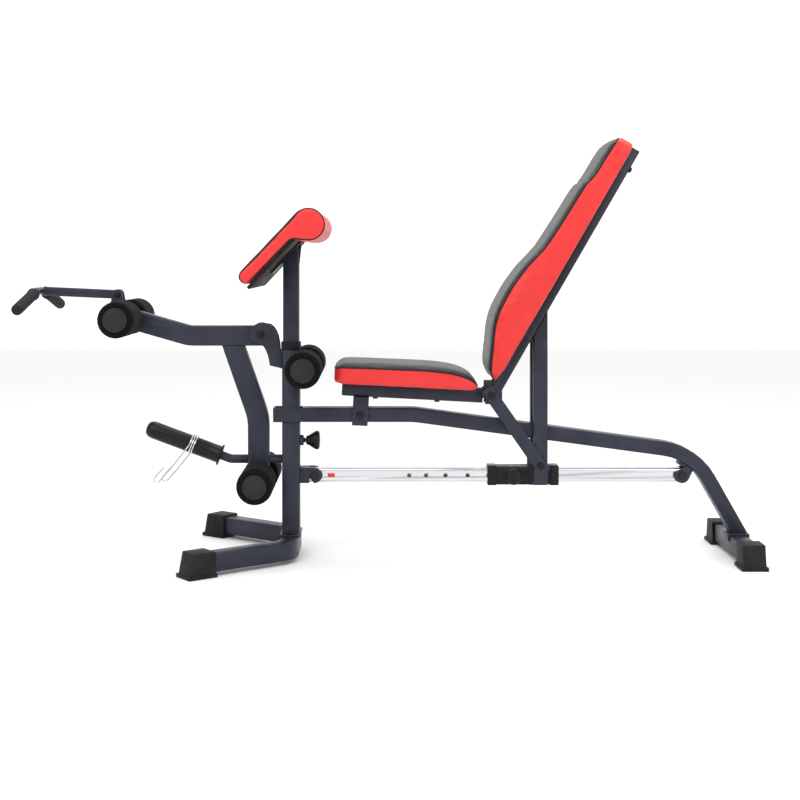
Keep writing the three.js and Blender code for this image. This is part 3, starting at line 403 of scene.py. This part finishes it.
# foam rollers
rollerSize = {
    "foamRadius": 0.050,
    "bore": 0.0136,
    "inner": 0.038,
    "length": 0.152,
    "edge": 0.011,
    "tube": 0.0122,
    "disc": 0.033,
    "discOut": 0.0068,
}


def addRoller(name, place, body):
    size = rollerSize
    outer = size["inner"] + size["length"]
    for side, way in (("left", 1), ("right", -1)):
        r, e = size["foamRadius"], size["edge"]
        rings = [(r - e * 1.3, 0), (r - e * 0.62, 0.0016), (r - e * 0.25, e * 0.36),
                 (r - e * 0.04, e * 0.75), (r, e * 1.1)]
        rings += [(r * (1 - 0.006 * sin(pi * k / 6)), e * 1.1 + (size["length"] - 2.2 * e) * k / 6)
                  for k in range(1, 6)]
        rings += [(a, size["length"] - b) for a, b in reversed(rings[:5])]
        foamPlace = place + Vector((0, way * size["inner"], 0))
        foam = turnedForm(f"{name}_foam_roll_{side}", rings, foamPlace, (0, way, 0), 64)
        pick(foam)
        bpy.ops.object.mode_set(mode="EDIT")
        bpy.ops.mesh.select_all(action="DESELECT")
        bpy.ops.object.mode_set(mode="OBJECT")
        for face in foam.data.polygons:  # both round ends
            face.select = len(face.vertices) > 10
        bpy.ops.object.mode_set(mode="EDIT")
        bpy.ops.mesh.select_mode(type="FACE")
        endRing = size["foamRadius"] - size["edge"] * 1.3 - size["bore"]
        bpy.ops.mesh.inset(thickness=endRing, depth=0, use_individual=True)
        bpy.ops.mesh.inset(thickness=0.0006, depth=-0.004, use_individual=True)
        bpy.ops.object.mode_set(mode="OBJECT")
        smoothBy(foam, 50)
        finish(foam, rollerFoam, body, (f"{name}_foam_{side}",))
    ends = []
    for way in (1, -1):
        d, out = size["disc"], size["discOut"]
        rings = [(size["tube"], -size["length"] - 0.004), (size["tube"], 0.0002), (d - 0.001, 0.0002), (d, 0.0012),
                 (d, 0.0032), (d - 0.0012, 0.0046), (d - 0.0035, 0.0052), (d - 0.0045, 0.0046), (d - 0.006, 0.0045),
                 (d - 0.0075, 0.0056), (d - 0.014, out - 0.0004), (0.008, out), (0.002, out)]
        endPlace = place + Vector((0, way * (outer + 0.0003), 0))
        ends.append(turnedForm(f"{name}_end", rings, endPlace, (0, way, 0), 64))
    shaftRings = [(size["tube"], -size["inner"]), (size["tube"], size["inner"])]
    axle = turnedForm(f"{name}_shaft", shaftRings, place, (0, 1, 0), 32)
    whole = joinPieces(f"{name}_axle_and_discs", ends + [axle])
    smoothBy(whole, 40)
    finish(whole, capPlastic, body, (f"{name}_roller_axle",))


for name in ("top", "ankle", "knee"):
    addRoller(name, middle(f"{name}_roller_axle"), f"{name}_roller")
print("foam rollers turned")

# pull pins
postKnob = {
    "place": fromBench(-221, 0, 325),
    "rings": [(0.0062, -0.0012), (0.0062, 0.0105), (0.0078, 0.0108), (0.0078, 0.0132), (0.0055, 0.0135), (0.0055, 0.0168),
              (0.0105, 0.0172), (0.0125, 0.019), (0.0138, 0.0235), (0.0162, 0.028), (0.0200, 0.0335), (0.0238, 0.0395),
              (0.0262, 0.0445), (0.0270, 0.0482), (0.0266, 0.0515), (0.0250, 0.0536), (0.0215, 0.0552), (0.0150, 0.0566),
              (0.0030, 0.0574)],
}
knob = turnedForm("post_pin_knob", postKnob["rings"], postKnob["place"], (1, 0, 0), 56)
smoothBy(knob, 34)
finish(knob, knobPlastic, "post_pin", ("post_pull_pin",))
sliderKnob = {
    "place": fromBench(380, 0, 228),
    "rings": [(0.0048, 0.0238), (0.0048, 0.0392), (0.0115, 0.0396), (0.0135, 0.0404), (0.0165, 0.0416), (0.0205, 0.0438),
              (0.0222, 0.0462), (0.0224, 0.0520), (0.0220, 0.0560), (0.0205, 0.0584), (0.0170, 0.0602), (0.0140, 0.0606),
              (0.0125, 0.0598), (0.0040, 0.0598)],
}
knob = turnedForm("slider_pin_knob", sliderKnob["rings"], sliderKnob["place"], (0, -1, 0), 56)
smoothBy(knob, 34)
finish(knob, knobPlastic, "slider_pin", ("slider_pull_pin",))
print("pull pins turned")

# weight sleeve and spring clip
weightSleeve = {
    "rise": radians(20.5),
    "start": fromBench(-444.5, 0, 282.2),
    "length": 0.226,
    "barrel": 0.0245,
}
alongBar = Vector((-cos(weightSleeve["rise"]), 0, sin(weightSleeve["rise"])))
acrossBar = Vector((sin(weightSleeve["rise"]), 0, cos(weightSleeve["rise"])))
r = weightSleeve["barrel"]
sleeveRings = [(0.0130, 0.0), (0.0285, 0.0), (0.0302, 0.0008), (0.0305, 0.003), (0.0302, 0.0052), (0.0285, 0.006),
               (r + 0.0012, 0.0062), (r, 0.0085), (r, 0.05), (r, 0.1), (r, 0.15), (r, 0.200), (r * 0.985, 0.207),
               (r * 0.93, 0.2130), (r * 0.82, 0.2185), (r * 0.66, 0.2225), (r * 0.45, 0.2248), (r * 0.2, 0.2258)]
sleeve = turnedForm("plate_sleeve", sleeveRings, weightSleeve["start"], alongBar, 56)
smoothBy(sleeve, 34)
finish(sleeve, knobPlastic, "lever", ("weight_sleeve",))
springClip = {
    "wire": 0.0048,
    "turns": 2.5,
    "pitch": 0.0062,
    "place": 0.078,
    "leg": 0.132,
    "lean": 0.32,
    "hook": 0.018,
    "hookBack": 0.048,
    "coilRadius": 0.0286,
}


def addSpringClip():
    size = springClip
    origin = weightSleeve["start"] + alongBar * size["place"]
    down = -acrossBar

    def local(x, y, z):
        return origin + alongBar * x + Vector((0, 1, 0)) * y + down * z

    def handle(x, y):
        drift = size["lean"] * size["leg"]
        back = size["lean"] * size["hookBack"]
        hookRadius = size["hook"] / 2
        points = [(x + size["hook"] + drift - back, y, size["leg"] - size["hookBack"])]
        for k in range(13):
            turn = pi * k / 12
            points.append((x + drift + hookRadius + hookRadius * cos(turn), y,
                           size["leg"] - hookRadius + hookRadius * sin(turn)))
        points += [(x + drift * 0.66, y, size["leg"] * 0.66), (x + drift * 0.3, y, size["leg"] * 0.3), (x, y, 0)]
        return points

    radius = size["coilRadius"]
    coilSteps = int(size["turns"] * 28)
    width = size["turns"] * size["pitch"]
    points = handle(0, radius)
    for k in range(1, coilSteps):
        turn = 2 * pi * size["turns"] * k / coilSteps
        points.append((width * k / coilSteps, radius * cos(turn), -radius * sin(turn)))
    points += list(reversed(handle(width, -radius)))
    clip = wire("spring_clip_wire", [local(*point) for point in points], size["wire"], 4)
    finish(clip, wireChrome, "clip", ("spring_clip",))


addSpringClip()
print("weight sleeve and clip made")

# curl handle
curlBar = {
    "pivot": fromBench(-737.84, 0, 738.49),
    "tilt": radians(2.6),
    "barAlong": 0.2203,
    "barRadius": 0.0108,
    "half": 0.256,
    "flat": 0.048,
    "droop": 0.045,
    "gripStart": 0.082,
}
rodWay = Vector((-cos(curlBar["tilt"]), 0, sin(curlBar["tilt"])))
rodUp = Vector((sin(curlBar["tilt"]), 0, cos(curlBar["tilt"])))
barMiddle = curlBar["pivot"] + rodWay * curlBar["barAlong"]


def onBar(y, drop, back=0.0):
    return barMiddle + Vector((0, y, 0)) - rodUp * drop - rodWay * back


barCorners = [onBar(-curlBar["half"], curlBar["droop"]), onBar(-curlBar["flat"], 0), onBar(curlBar["flat"], 0),
              onBar(curlBar["half"], curlBar["droop"])]
bar = bentBar("handle_bar", barCorners, 2 * curlBar["barRadius"], 0.06, 10, 7)
collarRings = [(0.0060, -0.030), (0.0060, 0.0), (0.0135, 0.0002), (0.0140, 0.0010), (0.0140, 0.0048), (0.0132, 0.0058),
               (0.0070, 0.0060), (0.0070, 0.012)]
stem = turnedForm("handle_stem", collarRings, curlBar["pivot"] + rodWay * 0.2043, rodWay, 36)
smoothBy(stem, 34)
finish(joinPieces("curl_bar_and_stem", [bar, stem]), framePaint, "curl_bar", ("curl_handle",))
gripRings = [(0.0118, 0.0), (0.0172, 0.0002), (0.0178, 0.0016), (0.0176, 0.0048), (0.0158, 0.0072)]
for k in range(1, 30):  # fine ribs along the grip
    along = 0.0072 + k * 0.0056
    gripRings += [(0.0156, along - 0.0016), (0.0147, along - 0.0008), (0.0147, along), (0.0156, along + 0.0008)]
slopeLength = sqrt((curlBar["half"] - curlBar["flat"]) ** 2 + curlBar["droop"] ** 2)
gripTravel = (curlBar["gripStart"] - curlBar["flat"]) * slopeLength / (curlBar["half"] - curlBar["flat"])
gripLength = slopeLength - gripTravel + 0.004
gripRings = [ring for ring in gripRings if ring[1] < gripLength - 0.008]
gripRings += [(0.0152, gripLength - 0.005), (0.0140, gripLength - 0.0024), (0.0115, gripLength - 0.0006),
              (0.004, gripLength)]
for side, way in (("left", 1), ("right", -1)):
    start = onBar(way * curlBar["flat"], 0)
    wayOut = (onBar(way * curlBar["half"], curlBar["droop"]) - start).normalized()
    grip = turnedForm(f"hand_grip_{side}", gripRings, start + wayOut * gripTravel, wayOut, 40)
    smoothBy(grip, 40)
    finish(grip, gripRubber, "curl_bar", (f"curl_grip_{side}",))
print("curl handle bent")


# pads
def between(table, x):  # smooth height at x through a list of points, without overshoot
    if x <= table[0][0]:
        return table[0][1]
    if x >= table[-1][0]:
        return table[-1][1]
    slopes = [(z1 - z0) / (x1 - x0) for (x0, z0), (x1, z1) in zip(table, table[1:])]
    tangents = [slopes[0]]
    for before, after in zip(slopes, slopes[1:]):
        tangents.append(2 * before * after / (before + after) if before * after > 0 else 0.0)
    tangents.append(slopes[-1])
    k = max(i for i in range(len(table) - 1) if table[i][0] <= x)
    (x0, z0), (x1, z1) = table[k], table[k + 1]
    width = x1 - x0
    t = (x - x0) / width
    rise = z0 * (1 + 2 * t) * (1 - t) ** 2 + z1 * t * t * (3 - 2 * t)
    return rise + width * (tangents[k] * t * (1 - t) ** 2 - tangents[k + 1] * t * t * (1 - t))


def cornered(x, start, end, radius):  # how much of the half width a rounded plan corner leaves
    near = min(x - start, end - x)
    if near >= radius:
        return 0.0
    near = max(near, 0.0)
    return radius - sqrt(max(radius ** 2 - (radius - near) ** 2, 0.0))


def swell(pad, pressure, cap):  # the filling pushes the cover out, as far as the cap allows
    pick(pad)
    rest = [vertex.co.copy() for vertex in pad.data.vertices]
    cloth = pad.modifiers.new("cover", "CLOTH")
    cloth.settings.use_pressure = True
    cloth.settings.uniform_pressure_force = pressure
    cloth.settings.effector_weights.gravity = 0
    cloth.settings.quality = 5
    cloth.settings.tension_stiffness = 20
    cloth.settings.compression_stiffness = 20
    cloth.settings.bending_stiffness = 2
    scene = bpy.context.scene
    for number in range(1, 21):
        scene.frame_set(number)
    shaped = pad.evaluated_get(bpy.context.evaluated_depsgraph_get())
    moved = [vertex.co.copy() for vertex in shaped.data.vertices]
    pad.modifiers.remove(cloth)
    scene.frame_set(1)
    for vertex, before, after in zip(pad.data.vertices, rest, moved):
        step = after - before
        if step.length > cap:
            step *= cap / step.length
        vertex.co = before + step


class PadFrame:
    def __init__(self, origin, angle):
        self.origin = Vector(origin)
        self.along = Vector((cos(angle), 0, sin(angle)))
        self.out = Vector((-sin(angle), 0, cos(angle)))

    def world(self, x, y, z):
        return self.origin + self.along * (x / 1000) + Vector((0, y / 1000, 0)) + self.out * (z / 1000)

    def local(self, place):
        offset = Vector(place) - self.origin
        return offset.dot(self.along) * 1000, offset.y * 1000, offset.dot(self.out) * 1000


def boxGrid(name, cuts):  # a unit cube cut into a grid
    clearSelection()
    bpy.ops.mesh.primitive_cube_add(size=1, location=(0, 0, 0))
    piece = bpy.context.active_object
    piece.name = name
    piece.data.name = name
    bpy.ops.object.mode_set(mode="EDIT")
    for axis, count in enumerate(cuts):
        for k in range(1, count):
            bpy.ops.mesh.select_all(action="SELECT")
            place = [0, 0, 0]
            normal = [0, 0, 0]
            place[axis] = k / count - 0.5
            normal[axis] = 1
            bpy.ops.mesh.bisect(plane_co=place, plane_no=normal)
    bpy.ops.object.mode_set(mode="OBJECT")
    return piece


def shapePad(pad, padFrame, spec):
    start, end, base = spec["start"], spec["end"], spec["base"]
    inset = spec["swell"]
    for vertex in pad.data.vertices:
        u, v, w = vertex.co
        x = start + inset + (u + 0.5) * (end - start - 2 * inset)
        top = between(spec["seam"], x) - inset * 0.6 + spec["crown"] * (1 - (2 * v) ** 4)
        half = spec["half"] - inset - cornered(x, start + inset, end - inset, spec["corner"])
        side = spec.get("tuck", 0) * (1 - min(1, (w + 0.5) * 3))  # the band narrows towards the board
        y = 2 * v * (half - side)
        z = base + (w + 0.5) * (top - base)
        vertex.co = padFrame.world(x, y, z)


def upholster(pad, padFrame, spec):
    outward(pad)
    roundEdges(pad, spec["softEdge"] / 1000, 4, 40)
    remesh = pad.modifiers.new("weave", "REMESH")
    remesh.mode = "VOXEL"
    remesh.voxel_size = spec["voxel"] / 1000
    applyAll(pad)
    swell(pad, spec["pressure"], spec["cap"] / 1000)
    relax = pad.modifiers.new("relax", "SMOOTH")
    relax.factor = 0.5
    relax.iterations = 4
    applyAll(pad)
    base = spec["base"]
    for vertex in pad.data.vertices:  # flat where it is screwed to its board, and drawn in along its seams
        x, y, z = padFrame.local(vertex.co)
        z = max(z, base)
        for channel in spec["channels"]:
            depth = channel["depth"] * max(0.0, 1 - abs(x - channel["at"]) / channel["width"]) ** 2
            height = z - base
            if height > 0.55 * (between(spec["seam"], x) - base):
                z -= depth
        vertex.co = padFrame.world(x, y, z)
    fine = pad.modifiers.new("fine", "SUBSURF")
    fine.levels = 1
    fine.render_levels = 1
    applyAll(pad)
    pick(pad)
    bpy.ops.object.shade_smooth()


def colourPad(pad, padFrame, spec):  # red band below the seam, black cover above it
    pad.data.materials.clear()
    pad.data.materials.append(redVinyl)
    pad.data.materials.append(blackVinyl)
    for face in pad.data.polygons:
        x, y, z = padFrame.local(face.center)
        face.material_index = 1 if z > between(spec["seam"], x) - spec["seamDrop"] else 0


def ringRound(spec, clear, cornerSteps=12, sideSteps=110):  # a rounded rectangle in plan, with its inward normals
    start, end, half = spec["start"] - clear, spec["end"] + clear, spec["half"] + clear
    radius = spec["corner"] + clear
    ring = []
    for cx, cy, first in ((end - radius, half - radius, 90), (start + radius, half - radius, 180),
                          (start + radius, radius - half, 270), (end - radius, radius - half, 360)):
        for k in range(cornerSteps + 1):
            angle = radians(first - 90 + 90 * k / cornerSteps)
            ring.append((cx + radius * cos(angle), cy + radius * sin(angle), -cos(angle), -sin(angle)))
        nextX = start + radius if cy > 0 and first == 90 else end - radius
        if first in (90, 270):
            for k in range(1, sideSteps):
                x = cx + (nextX - cx) * k / sideSteps
                ring.append((x, half if first == 90 else -half, 0.0, -1.0 if first == 90 else 1.0))
        else:
            nextY = radius - half if first == 180 else half - radius
            for k in range(1, 36):
                x = start if first == 180 else end
                ring.append((x, cy + (nextY - cy) * k / 36, 1.0 if first == 180 else -1.0, 0.0))
    return ring


def loopOfWire(name, points, diameter):  # a closed round cord through the points
    curve = bpy.data.curves.new(name, "CURVE")
    curve.dimensions = "3D"
    curve.bevel_depth = diameter / 2
    curve.bevel_resolution = 3
    spline = curve.splines.new("POLY")
    spline.points.add(len(points) - 1)
    for point, place in zip(spline.points, points):
        point.co = (*place, 1)
    spline.use_cyclic_u = True
    piece = bpy.data.objects.new(name, curve)
    bpy.context.collection.objects.link(piece)
    pick(piece)
    bpy.ops.object.convert(target="MESH")
    piece = bpy.context.active_object
    piece.data.name = name
    outward(piece)
    smoothBy(piece, 60)
    return piece


def pipeSeam(name, pad, padFrame, spec, body):  # piping sewn round the edge between band and cover
    pad.data.calc_loop_triangles()
    tree = BVHTree.FromPolygons([v.co for v in pad.data.vertices], [t.vertices for t in pad.data.loop_triangles])
    points = []
    for x, y, inX, inY in ringRound(spec, 30):
        nearX = min(max(x, spec["start"] + 4), spec["end"] - 4)
        place = None
        for _ in range(3):
            height = max(between(spec["seam"], nearX) - spec["seamDrop"], spec["base"] + 3)
            aim = padFrame.along * inX + Vector((0, inY, 0))
            hit = tree.ray_cast(padFrame.world(x, y, height), aim, 0.09)[0]
            if hit is None:
                break
            place = hit
            nearX = padFrame.local(hit)[0]
        if place is not None:
            points.append(place)
    for _ in range(6):
        points = [(points[k - 1] + points[k] * 2 + points[(k + 1) % len(points)]) / 4 for k in range(len(points))]
    return finish(loopOfWire(name, points, spec["piping"] / 1000), pipingVinyl, body)


backPad = {
    "start": 38, "end": 808, "half": 140, "base": 11.4, "corner": 34, "tuck": 3, "crown": 3,
    "seam": [(38, 16), (46, 30), (59, 46), (84, 60), (118, 75), (175, 100), (219, 110), (278, 112), (348, 106),
             (439, 87), (525, 82), (633, 78), (672, 69), (741, 67), (790, 63), (800, 58), (808, 48)],
    "seamDrop": 5, "swell": 3, "softEdge": 9, "voxel": 5.5, "pressure": 4, "cap": 5, "piping": 4.5,
    "channels": [{"at": 652, "width": 12, "depth": 5}, {"at": 432, "width": 8, "depth": 1.6}],
}
backFrame = PadFrame(fromBench(318, 0, 457), radians(60))
backCover = boxGrid("backrest_cushion", (44, 12, 5))
shapePad(backCover, backFrame, backPad)
upholster(backCover, backFrame, backPad)
colourPad(backCover, backFrame, backPad)
finish(backCover, None, "backrest", ("backrest_pad",))
pipeSeam("backrest_piping", backCover, backFrame, backPad, "backrest")
print("backrest pad upholstered")

seatPad = {
    "start": -84, "end": 328, "half": 140, "base": 93.4, "corner": 30, "tuck": 3, "crown": 4,
    "seam": [(-84, 136), (-72, 144), (-50, 147), (60, 149), (170, 150), (232, 147), (270, 141), (300, 130),
             (318, 117), (328, 104)],
    "seamDrop": 8, "swell": 3, "softEdge": 9, "voxel": 5.5, "pressure": 4, "cap": 5, "piping": 4.5,
    "channels": [],
}
seatFrame = PadFrame(fromBench(-50, 0, 399), -radians(3))
seatCover = boxGrid("seat_cushion", (26, 14, 5))
shapePad(seatCover, seatFrame, seatPad)
upholster(seatCover, seatFrame, seatPad)
colourPad(seatCover, seatFrame, seatPad)
finish(seatCover, None, "seat", ("seat_pad",))
pipeSeam("seat_piping", seatCover, seatFrame, seatPad, "seat")
print("seat pad upholstered")

preacherPad = {
    "slope": radians(47), "half": 280, "slab": 50, "length": 238, "bulb": 46, "bulbUp": 3, "inset": 2,
    "softEdge": 7, "voxel": 6, "pressure": 3, "cap": 2.5, "board": 9,
}
preacherFrame = PadFrame(fromBench(-344, 0, 756), preacherPad["slope"])


def preacherOutline(inset):
    size = preacherPad
    radius = size["bulb"] - inset
    points = [(inset, size["board"] + inset), (70, size["board"] + inset), (130, size["board"] + inset),
              (size["length"] - size["bulb"] - 14, size["board"] + inset)]
    for k in range(17):
        angle = radians(212 + (450 - 212) * k / 16)
        points.append((size["length"] + radius * cos(angle), size["bulbUp"] + radius * sin(angle)))
    points += [(150, size["slab"] - inset), (80, size["slab"] - inset), (16, size["slab"] - inset), (inset + 3, size["slab"] - 8),
               (inset, size["slab"] - 16)]
    return points


def addPreacherPad():
    size = preacherPad
    outline = preacherOutline(size["inset"])
    half = size["half"] - size["inset"]
    corners = [preacherFrame.world(x, -half, z) for x, z in outline]
    corners += [preacherFrame.world(x, half, z) for x, z in outline]
    count = len(outline)
    faces = [list(range(count)), list(range(2 * count - 1, count - 1, -1))]
    faces += [[k, (k + 1) % count, (k + 1) % count + count, k + count] for k in range(count)]
    mesh = bpy.data.meshes.new("preacher_cushion")
    mesh.from_pydata(corners, [], faces)
    pad = bpy.data.objects.new("preacher_cushion", mesh)
    bpy.context.collection.objects.link(pad)
    outward(pad)
    roundEdges(pad, size["softEdge"] / 1000, 4, 60)
    remesh = pad.modifiers.new("weave", "REMESH")
    remesh.mode = "VOXEL"
    remesh.voxel_size = size["voxel"] / 1000
    applyAll(pad)
    swell(pad, size["pressure"], size["cap"] / 1000)
    relax = pad.modifiers.new("relax", "SMOOTH")
    relax.factor = 0.5
    relax.iterations = 4
    fine = pad.modifiers.new("fine", "SUBSURF")
    fine.levels = 1
    fine.render_levels = 1
    applyAll(pad)
    bpy.ops.object.shade_smooth()
    pad.data.materials.clear()
    pad.data.materials.append(redVinyl)
    pad.data.materials.append(blackVinyl)
    for face in pad.data.polygons:  # black cover on the face for the arms, red on the end panels and behind
        x, y, z = preacherFrame.local(face.center)
        upSlope = face.normal.dot(preacherFrame.out)
        face.material_index = 1 if abs(y) < size["half"] - 6 and upSlope > 0.3 else 0
    finish(pad, None, "preacher", ("preacher_pad",))
    return pad


preacherCover = addPreacherPad()
preacherCover.data.calc_loop_triangles()
coverTree = BVHTree.FromPolygons([v.co for v in preacherCover.data.vertices],
                                 [t.vertices for t in preacherCover.data.loop_triangles])
for side, way in (("left", 1), ("right", -1)):
    outline = preacherOutline(preacherPad["inset"])
    ring = []
    for (x0, z0), (x1, z1) in zip(outline, outline[1:] + outline[:1]):
        for k in range(6):
            x, z = x0 + (x1 - x0) * k / 6, z0 + (z1 - z0) * k / 6
            ring.append(coverTree.find_nearest(preacherFrame.world(x, way * (preacherPad["half"] - 6), z))[0])
    for _ in range(4):
        ring = [(ring[k - 1] + ring[k] * 2 + ring[(k + 1) % len(ring)]) / 4 for k in range(len(ring))]
    finish(loopOfWire("preacher_piping_" + side, ring, 0.0044), pipingVinyl, "preacher")
boardAngle = (0, -preacherPad["slope"], 0)
board = blockAt("preacher_board", preacherFrame.world(92, 0, 4.6), (0.178, 0.54, 0.0086), boardAngle, 0.0015)
finish(board, boardBlack, "preacher")
print("preacher pad upholstered")


# bolts, plugs and small trim
def hexBolt(name, place, direction, across, height, washer, body):
    head = turnedForm(name, [(across / 2 * 1.1547 * 0.94, washer), (across / 2 * 1.1547, washer + 0.0006),
                             (across / 2 * 1.1547, height - 0.0012), (across / 2 * 0.98, height), (0.001, height)],
                      place, direction, 6)
    if washer:
        ring = turnedForm(name + "_washer", [(across * 0.72, 0), (across * 0.75, 0.0003), (across * 0.75, washer - 0.0003),
                                             (across * 0.72, washer)], place, direction, 28)
        head = joinPieces(name, [head, ring])
    smoothBy(head, 30)
    return finish(head, boltSteel, body)


boltSizes = {  # across the flats, height, washer
    "rail": (0.017, 0.0085, 0.0018),
    "base": (0.015, 0.0085, 0.0016),
    "seatPad": (0.013, 0.006, 0.0014),
    "backPad": (0.013, 0.0065, 0.0014),
}
railBolts = {"front": fromBench(-180, 0, 228), "rear": fromBench(858, 0, 228)}
for name, place in railBolts.items():
    for side, way in (("left", 1), ("right", -1)):
        outside = place + Vector((0, way * 0.0244, 0))
        hexBolt(f"rail_bolt_{name}_{side}", outside, (0, way, 0), *boltSizes["rail"], "frame")
for side, way in (("left", 1), ("right", -1)):
    hexBolt(f"base_bolt_{side}", fromBench(-246, way * 45, 66.4), (0, 0, 1), *boltSizes["base"], "frame")
for k, x in enumerate((40, 215)):
    place = PadFrame(fromBench(-50, 0, 399), -radians(3))
    hexBolt(f"seat_pad_bolt_{k}", place.world(x, 0, 52 - 0.1), -place.out, *boltSizes["seatPad"], "seat")
for side, way in (("left", 1), ("right", -1)):
    for k, x in enumerate((190, 742)):
        low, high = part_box(f"backrest_rail_{side}")
        yRail = (low[1] + high[1]) / 2 * 1000
        under = backFrame.world(x, yRail, -19.4)
        hexBolt(f"back_pad_bolt_{side}_{k}", under, -backFrame.out, *boltSizes["backPad"], "backrest")


def tubeEnd(name, place, rotation, width, height, body):  # plastic plug, a thin block with slightly rounded edges
    plug = blockAt(name, place, (0.0032, width, height), rotation, 0.0012)
    return finish(plug, capPlastic, body)


seatEnd = PadFrame(fromBench(-50, 0, 399), -radians(3))
tubeEnd("seat_tube_plug", seatEnd.world(-53.8, 0, 72), (0, radians(3), 0), 0.048, 0.038, "seat")
for side in ("left", "right"):
    low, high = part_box(f"backrest_rail_{side}")
    yRail = (low[1] + high[1]) / 2 * 1000
    tubeEnd(f"back_rail_plug_{side}", backFrame.world(797.8, yRail, -4.3), (0, -radians(60), 0),
            0.019, 0.029, "backrest")
tubeEnd("lever_leg_plug", fromBench(-338, 0, 626.5 - 433.8), (0, radians(90), 0), 0.038, 0.058, "lever")
sticker = blockAt("rail_sticker", fromBench(-132, -19.25, 228), (0.020, 0.0005, 0.011), (0, 0, 0), 0.0001)
finish(sticker, stickerRed, "frame")
print("bolts and plugs fitted")

# studio
clearSelection()
bpy.ops.mesh.primitive_plane_add(size=30, location=(0, 0, -0.0005))
floor = bpy.context.active_object
floor.name = "studio_floor"
floorMaterial, _, floorShader = startMaterial("studioFloor", (0.9, 0.9, 0.9), 0.9)
floorShader.inputs["Specular IOR Level"].default_value = 0.1
floor.data.materials.append(floorMaterial)
clearSelection()
bpy.ops.mesh.primitive_plane_add(size=30, location=(0, 9, 8), rotation=(radians(90), 0, 0))
backdrop = bpy.context.active_object
backdrop.name = "studio_backdrop"
backdropMaterial, _, backdropShader = startMaterial("studioBackdrop", (0.95, 0.95, 0.95), 0.9)
backdropShader.inputs["Emission Color"].default_value = (1, 1, 1, 1)
backdropShader.inputs["Emission Strength"].default_value = 0.3
backdrop.data.materials.append(backdropMaterial)

studio = {
    "world": 0.86,
    "key": {"place": (-1.6, -3.2, 3.4), "size": 2.6, "power": 75},
    "fill": {"place": (2.6, -2.8, 2.2), "size": 2.2, "power": 38},
    "top": {"place": (0.2, 0.4, 3.8), "size": 3.0, "power": 70},
}
world = bpy.data.worlds.new("studioLight")
bpy.context.scene.world = world
world.use_nodes = True
world.node_tree.nodes["Background"].inputs["Color"].default_value = (1, 1, 1, 1)
world.node_tree.nodes["Background"].inputs["Strength"].default_value = studio["world"]
for name in ("key", "fill", "top"):
    light = bpy.data.lights.new(name + "_light", "AREA")
    light.energy = studio[name]["power"]
    light.size = studio[name]["size"]
    lamp = bpy.data.objects.new(name + "_light", light)
    bpy.context.collection.objects.link(lamp)
    lamp.location = studio[name]["place"]
    lamp.rotation_mode = "QUATERNION"
    lamp.rotation_quaternion = (Vector((0, 0, 0.5)) - lamp.location).to_track_quat("-Z", "Y")
view = {"place": (-0.0366, -4.0, 0.839), "lens": 63.4, "shiftX": 0.0275, "shiftY": -0.17625}
camera = bpy.data.cameras.new("bench_camera")
camera.lens = view["lens"]
camera.shift_x = view["shiftX"]
camera.shift_y = view["shiftY"]
cameraObject = bpy.data.objects.new("bench_camera", camera)
bpy.context.collection.objects.link(cameraObject)
cameraObject.location = view["place"]
cameraObject.rotation_euler = (radians(90), 0, 0)
bpy.context.scene.camera = cameraObject
bpy.context.scene.view_settings.view_transform = "Standard"
print("studio lit")
